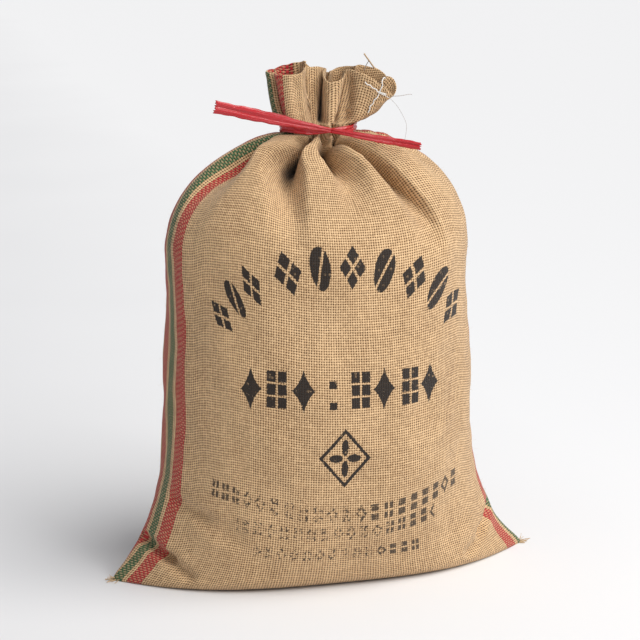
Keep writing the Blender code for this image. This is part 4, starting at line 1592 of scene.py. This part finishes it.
# %% [markdown]
# Glossy plastic
#
# Drawn plastic splits into fine lines along its length and turns white where it is bent or scuffed. The
# colour and the roughness follow long thin noise, stretched along the strip, and short pale nicks cross it.

# %% Material of the strip
STRIP_RED = (0.68, 0.018, 0.026, 1)
STRIP_DEEP_RED = (0.36, 0.004, 0.010, 1)
STRIP_SCUFF = (0.95, 0.66, 0.66, 1)
STRIP_BUMP = 0.5
STRIP_BUMP_HEIGHT = 0.0004


def plastic_material():
    material, tree, shader = new_material("red plastic")
    along, side = surface_place(tree, "strip")
    lines = noise(tree, combined(tree, along * 25.0, side * 26.0), 1.0, 3.0)
    colour = colour_mix(tree, lines.step("MULTIPLY_ADD", 2.2, -0.6, clamp=True), STRIP_DEEP_RED, STRIP_RED)
    nicks = noise(tree, combined(tree, along * 260.0, side * 16.0, 4.0), 1.0, 3.0)
    scuff = (nicks - 0.66).step("MULTIPLY", 7.0, clamp=True)
    colour = colour_mix(tree, scuff * 0.8, colour, STRIP_SCUFF)
    tree.links.new(colour, shader.inputs["Base Color"])
    tree.links.new((scuff * 0.35 + lines * 0.2 + 0.16).socket, shader.inputs["Roughness"])
    add_bump(tree, shader, lines, STRIP_BUMP, STRIP_BUMP_HEIGHT)
    set_sockets(shader, {"Coat Weight": 0.35, "Coat Roughness": 0.12})
    return material


plastic_strip.data.materials.append(plastic_material())

# %% [markdown]
# Threads and loose yarns
#
# A white sewing thread is knotted over the right lobe of the frill and trails three thin tails, and a
# strand of jute has come loose behind it. Thin strands are tubes along a smooth curve. Two plies twisted
# together give a cross section that is a little longer one way, and turns along the strand.

# %% Tube helper
STRAND_STEP = 0.0008


def smooth_path(points, step):
    """Points close together along a smooth curve through the given ones."""
    points = np.array(points, dtype=float)
    ends = np.concatenate([2 * points[:1] - points[1:2], points, 2 * points[-1:] - points[-2:-1]])
    path = []
    for a, b, c, d in zip(ends, ends[1:], ends[2:], ends[3:]):
        pieces = max(2, round(np.linalg.norm(c - b) / step))
        for t in np.arange(pieces) / pieces:
            path.append(b + 0.5 * t * (c - a + t * (2 * a - 5 * b + 4 * c - d + t * (3 * (b - c) + d - a))))
    path.append(points[-1])
    return np.array(path)


def add_strand(bm, path, radius, sides=8, twist_length=0.003, flatness=0.25, taper=0.0):
    """A twisted strand along a path of points, as a closed tube."""
    path = np.array(path)
    run = unit(np.gradient(path, axis=0))
    aside = unit(np.cross(run, (0.31, -0.9, 0.3)))
    out = np.cross(aside, run)
    length = np.concatenate([[0], np.cumsum(np.linalg.norm(np.diff(path, axis=0), axis=1))])
    turn = np.arange(sides) * 2 * math.pi / sides
    rings = []
    for p, a, o, s in zip(path, aside, out, length):
        ply = 1 + flatness * np.cos(2 * turn + 2 * math.pi * s / twist_length)
        thick = radius * (1 - taper * s / length[-1]) * ply[:, None]
        ring = p + thick * (np.cos(turn)[:, None] * a + np.sin(turn)[:, None] * o)
        rings.append([bm.verts.new(v) for v in ring])
    joined_rings(bm, rings)
    bm.faces.new(rings[0][::-1])
    bm.faces.new(rings[-1])


def strands_object(name, bm):
    bmesh.ops.recalc_face_normals(bm, faces=bm.faces[:])
    item = new_object(name, mesh_from(bm, name))
    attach(item, "root")
    return item


# %% The white sewing thread
COTTON_WHITE = (0.90, 0.88, 0.84, 1)
COTTON_SHADE = (0.70, 0.67, 0.62, 1)
COTTON_GREY = (0.62, 0.58, 0.54, 1)
COTTON_DARK = (0.40, 0.37, 0.35, 1)
STRAND_PALE = (0.72, 0.53, 0.32, 1)
STRAND_DARK = (0.45, 0.29, 0.15, 1)
FIBRE_NOISE = 1800.0
WHITE_RADIUS = 0.00062
KNOT_RADIUS = 0.0010
KNOT_TILTS = (0.0, 1.1, 2.2)
WHITE_KNOT = (60.4, -33.1, 549.8)
WHITE_THREADS = (
    (WHITE_KNOT, (58.5, -32.9, 545.4), (57.0, -32.6, 543.4), (54.4, -32.0, 541.2), (53.6, -31.4, 537.6),
     (50.4, -30.8, 534.6), (50.2, -30.0, 531.0), (48.4, -29.4, 527.4)),
    (WHITE_KNOT, (61.3, -34.2, 553.4), (63.4, -34.4, 557.6), (63.0, -33.8, 561.5), (65.4, -30.4, 564.6),
     (69.0, -22.0, 564.6), (72.8, -14.2, 562.6)),
    (WHITE_KNOT, (64.0, -33.6, 547.4), (67.0, -32.4, 546.6), (71.5, -30.6, 543.9), (74.5, -29.0, 544.8)),
    (WHITE_KNOT, (63.0, -34.2, 549.2), (67.6, -32.8, 547.8), (71.0, -31.2, 546.4), (74.5, -29.0, 544.8)),
    (WHITE_KNOT, (57.6, -34.4, 551.0), (56.0, -34.2, 553.6), (52.4, -33.4, 555.0), (50.0, -33.0, 557.8),
     (46.6, -32.0, 558.8), (44.5, -31.0, 561.6)),
)


def sewing_thread():
    bm = bmesh.new()
    for points in WHITE_THREADS:
        add_strand(bm, smooth_path(np.array(points) * MM, STRAND_STEP), WHITE_RADIUS)
    middle = np.array(WHITE_KNOT) * MM
    for tilt in KNOT_TILTS:
        turn = np.linspace(0, 1.9 * math.pi, 24)
        loop = np.stack([np.cos(turn), np.sin(turn) * math.sin(tilt), np.sin(turn) * math.cos(tilt)], axis=1)
        add_strand(bm, middle + loop * KNOT_RADIUS, WHITE_RADIUS * 0.9)
    return strands_object("sewing_thread", bm)


def thread_material(name, colour, dark):
    material, tree, shader = new_material(name)
    fibres = noise(tree, object_place(tree), FIBRE_NOISE, 2.0)
    tree.links.new(colour_mix(tree, fibres, dark, colour), shader.inputs["Base Color"])
    set_sockets(shader, {"Roughness": 0.8, "Sheen Weight": 0.2})
    return material


white_thread = sewing_thread()
white_thread.data.materials.append(thread_material("white cotton", COTTON_WHITE, COTTON_SHADE))
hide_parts("stitch_thread")
print("faces of the sewing thread:", len(white_thread.data.polygons))

# %% Strands at the back rim and the thread's thin tails
JUTE_STRAND = (
    (49.2, -10.7, 590.0), (57.1, -2.4, 581.7), (64.3, 2.5, 573.6), (67.5, 2.4, 571.6), (71.0, 0.2, 569.2),
)
JUTE_STRAND_RADIUS = 0.0008
# Each tail of the sewing thread: its points in mm and its radius in mm
THREAD_TAILS = (
    (((57.1, -2.4, 581.7), (55.4, 0.8, 577.5), (53.6, 4.6, 571.0), (54.6, 6.0, 569.0)), 0.45),
    (((74.0, -29.4, 544.8), (83.6, -34.0, 545.6), (93.7, -34.6, 547.0), (97.2, -34.4, 546.6)), 0.36),
    (((72.0, -30.4, 544.2), (79.9, -37.1, 534.4), (84.6, -45.7, 523.3), (85.7, -53.1, 514.2),
      (82.2, -58.6, 500.5)), 0.24),
)


def loose_strand():
    bm = bmesh.new()
    add_strand(bm, smooth_path(np.array(JUTE_STRAND) * MM, STRAND_STEP), JUTE_STRAND_RADIUS)
    return strands_object("loose_strand", bm)


def thread_tails():
    bm = bmesh.new()
    for points, radius in THREAD_TAILS:
        add_strand(bm, smooth_path(np.array(points) * MM, STRAND_STEP), radius * MM, sides=6)
    return strands_object("thread_tails", bm)


strand = loose_strand()
strand.data.materials.append(thread_material("loose strand", STRAND_PALE, STRAND_DARK))
tails = thread_tails()
tails.data.materials.append(thread_material("grey cotton", COTTON_GREY, COTTON_DARK))
print("faces of the strand and the tails:", len(strand.data.polygons), len(tails.data.polygons))

# %% [markdown]
# Corner tufts
#
# The bottom seam ends at each ear in a small brush of cut yarn. Fifteen short curved yarns, each a little
# different, look right from every side, and they start inside the ear so that none of them floats.

# %% Frayed yarn at the corners
TUFT_YARNS = 15
YARN_RADIUS = 0.00075
YARN_THICKNESS = (0.55, 1.1)
ROOT_DEPTH = (0.003, 0.006)
ROOT_SPREAD = (0.0006, 0.0022, 0.0010)
YARN_LENGTH = (0.008, 0.0155)
YARN_SPREAD = (0.25, 0.42, 0.30)
YARN_CURL = 0.0022
YARN_LOWEST = 0.0009
EAR_ROWS = 30


def corner_tip(side):
    """The end of an ear: the point that sticks out furthest to that side near the floor."""
    low = skin[:EAR_ROWS].reshape(-1, 3)
    return low[(low[:, 0] * side).argmax()]


def add_tuft(bm, side, facing, seed):
    dice = np.random.default_rng(seed)
    tip = corner_tip(side)
    facing = unit(np.array(facing, dtype=float))
    for _ in range(TUFT_YARNS):
        start = tip - facing * dice.uniform(*ROOT_DEPTH) + dice.normal(size=3) * ROOT_SPREAD
        length = dice.uniform(*YARN_LENGTH)
        spread = dice.normal(size=3) * YARN_SPREAD
        direction = unit(facing + spread)
        curl = dice.normal(size=3) * YARN_CURL
        points = [start + direction * length * t + curl * t * t for t in np.linspace(0, 1, 7)]
        points = [np.array((p[0], p[1], max(p[2], YARN_LOWEST))) for p in points]
        radius = YARN_RADIUS * dice.uniform(*YARN_THICKNESS)
        add_strand(bm, smooth_path(points, 0.0012), radius, 6, 0.004, 0.3, 0.55)


def corner_yarns():
    bm = bmesh.new()
    add_tuft(bm, -1, (-1, -0.15, 0.06), 51)
    add_tuft(bm, 1, (1, -0.1, 0.12), 52)
    return strands_object("corner_yarns", bm)


corners = corner_yarns()
corners.data.materials.append(thread_material("loose jute", STRAND_PALE, STRAND_DARK))
print("faces of the corner yarns:", len(corners.data.polygons))

# %% [markdown]
# Fuzz
#
# Jute is a hairy fibre. Thousands of short curved hairs, thinner than the threads, soften the outline of
# the sack and catch the light. Each is a tiny three sided tube, rooted in the cloth, with a place and a
# direction drawn from seeded dice, so the picture is the same each time.

# %% Fuzz on the cloth
FUZZ_COUNT = 6500
FUZZ_RADIUS = 0.00008
FUZZ_LENGTH = (0.002, 0.0065)
FUZZ_STAGES = (0.0, 0.4, 0.75, 1.0)
FUZZ_SIDES = 3
FUZZ_OUTWARD = 0.55
FUZZ_ASIDE = 0.75
FUZZ_CURL = 0.0016
FUZZ_TAPER = 0.7
FUZZ_ROOT = 0.0003
BARE_SOLE = 0.004
BARE_UNDER_STRIP = 0.006
FRILL_FUZZ_START = 0.52
FRILL_FUZZ = 1.5
HAIR_PALE = (0.80, 0.62, 0.40, 1)
HAIR_DARK = (0.55, 0.38, 0.21, 1)


def fuzz_points():
    """Roots on the cloth and the directions that point out of it, spread evenly by area."""
    dice = np.random.default_rng(61)
    normals = outward(skin)
    wide = np.linalg.norm(np.roll(skin, -1, axis=1) - skin, axis=2)
    tall = np.linalg.norm(np.gradient(skin, axis=0), axis=2)
    area = wide * tall
    area[skin[:, :, 2] < BARE_SOLE] = 0.0
    area[np.abs(skin[:, :, 2] - NECK_HEIGHT) < BARE_UNDER_STRIP] = 0.0
    area[skin[:, :, 2] > FRILL_FUZZ_START] *= FRILL_FUZZ
    chosen = dice.choice(area.size, FUZZ_COUNT, p=area.ravel() / area.sum())
    return skin.reshape(-1, 3)[chosen], normals.reshape(-1, 3)[chosen], dice


def cloth_fuzz():
    roots, normals, dice = fuzz_points()
    count = len(roots)
    lean = unit(dice.normal(size=(count, 3)))
    direction = unit(normals * FUZZ_OUTWARD + lean * FUZZ_ASIDE)
    curl = dice.normal(size=(count, 3)) * FUZZ_CURL
    length = dice.uniform(*FUZZ_LENGTH, size=(count, 1)) * dice.uniform(0.5, 1.0, size=(count, 1))
    aside = unit(np.cross(direction, lean + 0.01))
    out = np.cross(aside, direction)
    rings = []
    for t in FUZZ_STAGES:
        middle = roots - normals * FUZZ_ROOT + direction * length * t + curl * t * t
        middle[:, 2] = np.maximum(middle[:, 2], FUZZ_ROOT)
        thick = FUZZ_RADIUS * (1 - FUZZ_TAPER * t)
        for corner in range(FUZZ_SIDES):
            turn = 2 * math.pi * corner / FUZZ_SIDES
            rings.append(middle + thick * (math.cos(turn) * aside + math.sin(turn) * out))
    points = np.stack(rings, axis=1).reshape(-1, 3)
    faces = []
    for hair in range(count):
        base = hair * FUZZ_SIDES * len(FUZZ_STAGES)
        tip = base + FUZZ_SIDES * (len(FUZZ_STAGES) - 1)
        for low in range(base, tip, FUZZ_SIDES):
            high = low + FUZZ_SIDES
            for corner in range(FUZZ_SIDES):
                n = (corner + 1) % FUZZ_SIDES
                faces.append((low + corner, low + n, high + n, high + corner))
        faces.append((base + 2, base + 1, base))
        faces.append((tip, tip + 1, tip + 2))
    mesh = bpy.data.meshes.new("cloth_fuzz")
    mesh.from_pydata(points.tolist(), [], faces)
    item = new_object("cloth_fuzz", mesh)
    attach(item, "root")
    return item


fuzz = cloth_fuzz()
fuzz.data.materials.append(thread_material("jute hairs", HAIR_PALE, HAIR_DARK))
print("faces of the fuzz:", len(fuzz.data.polygons))
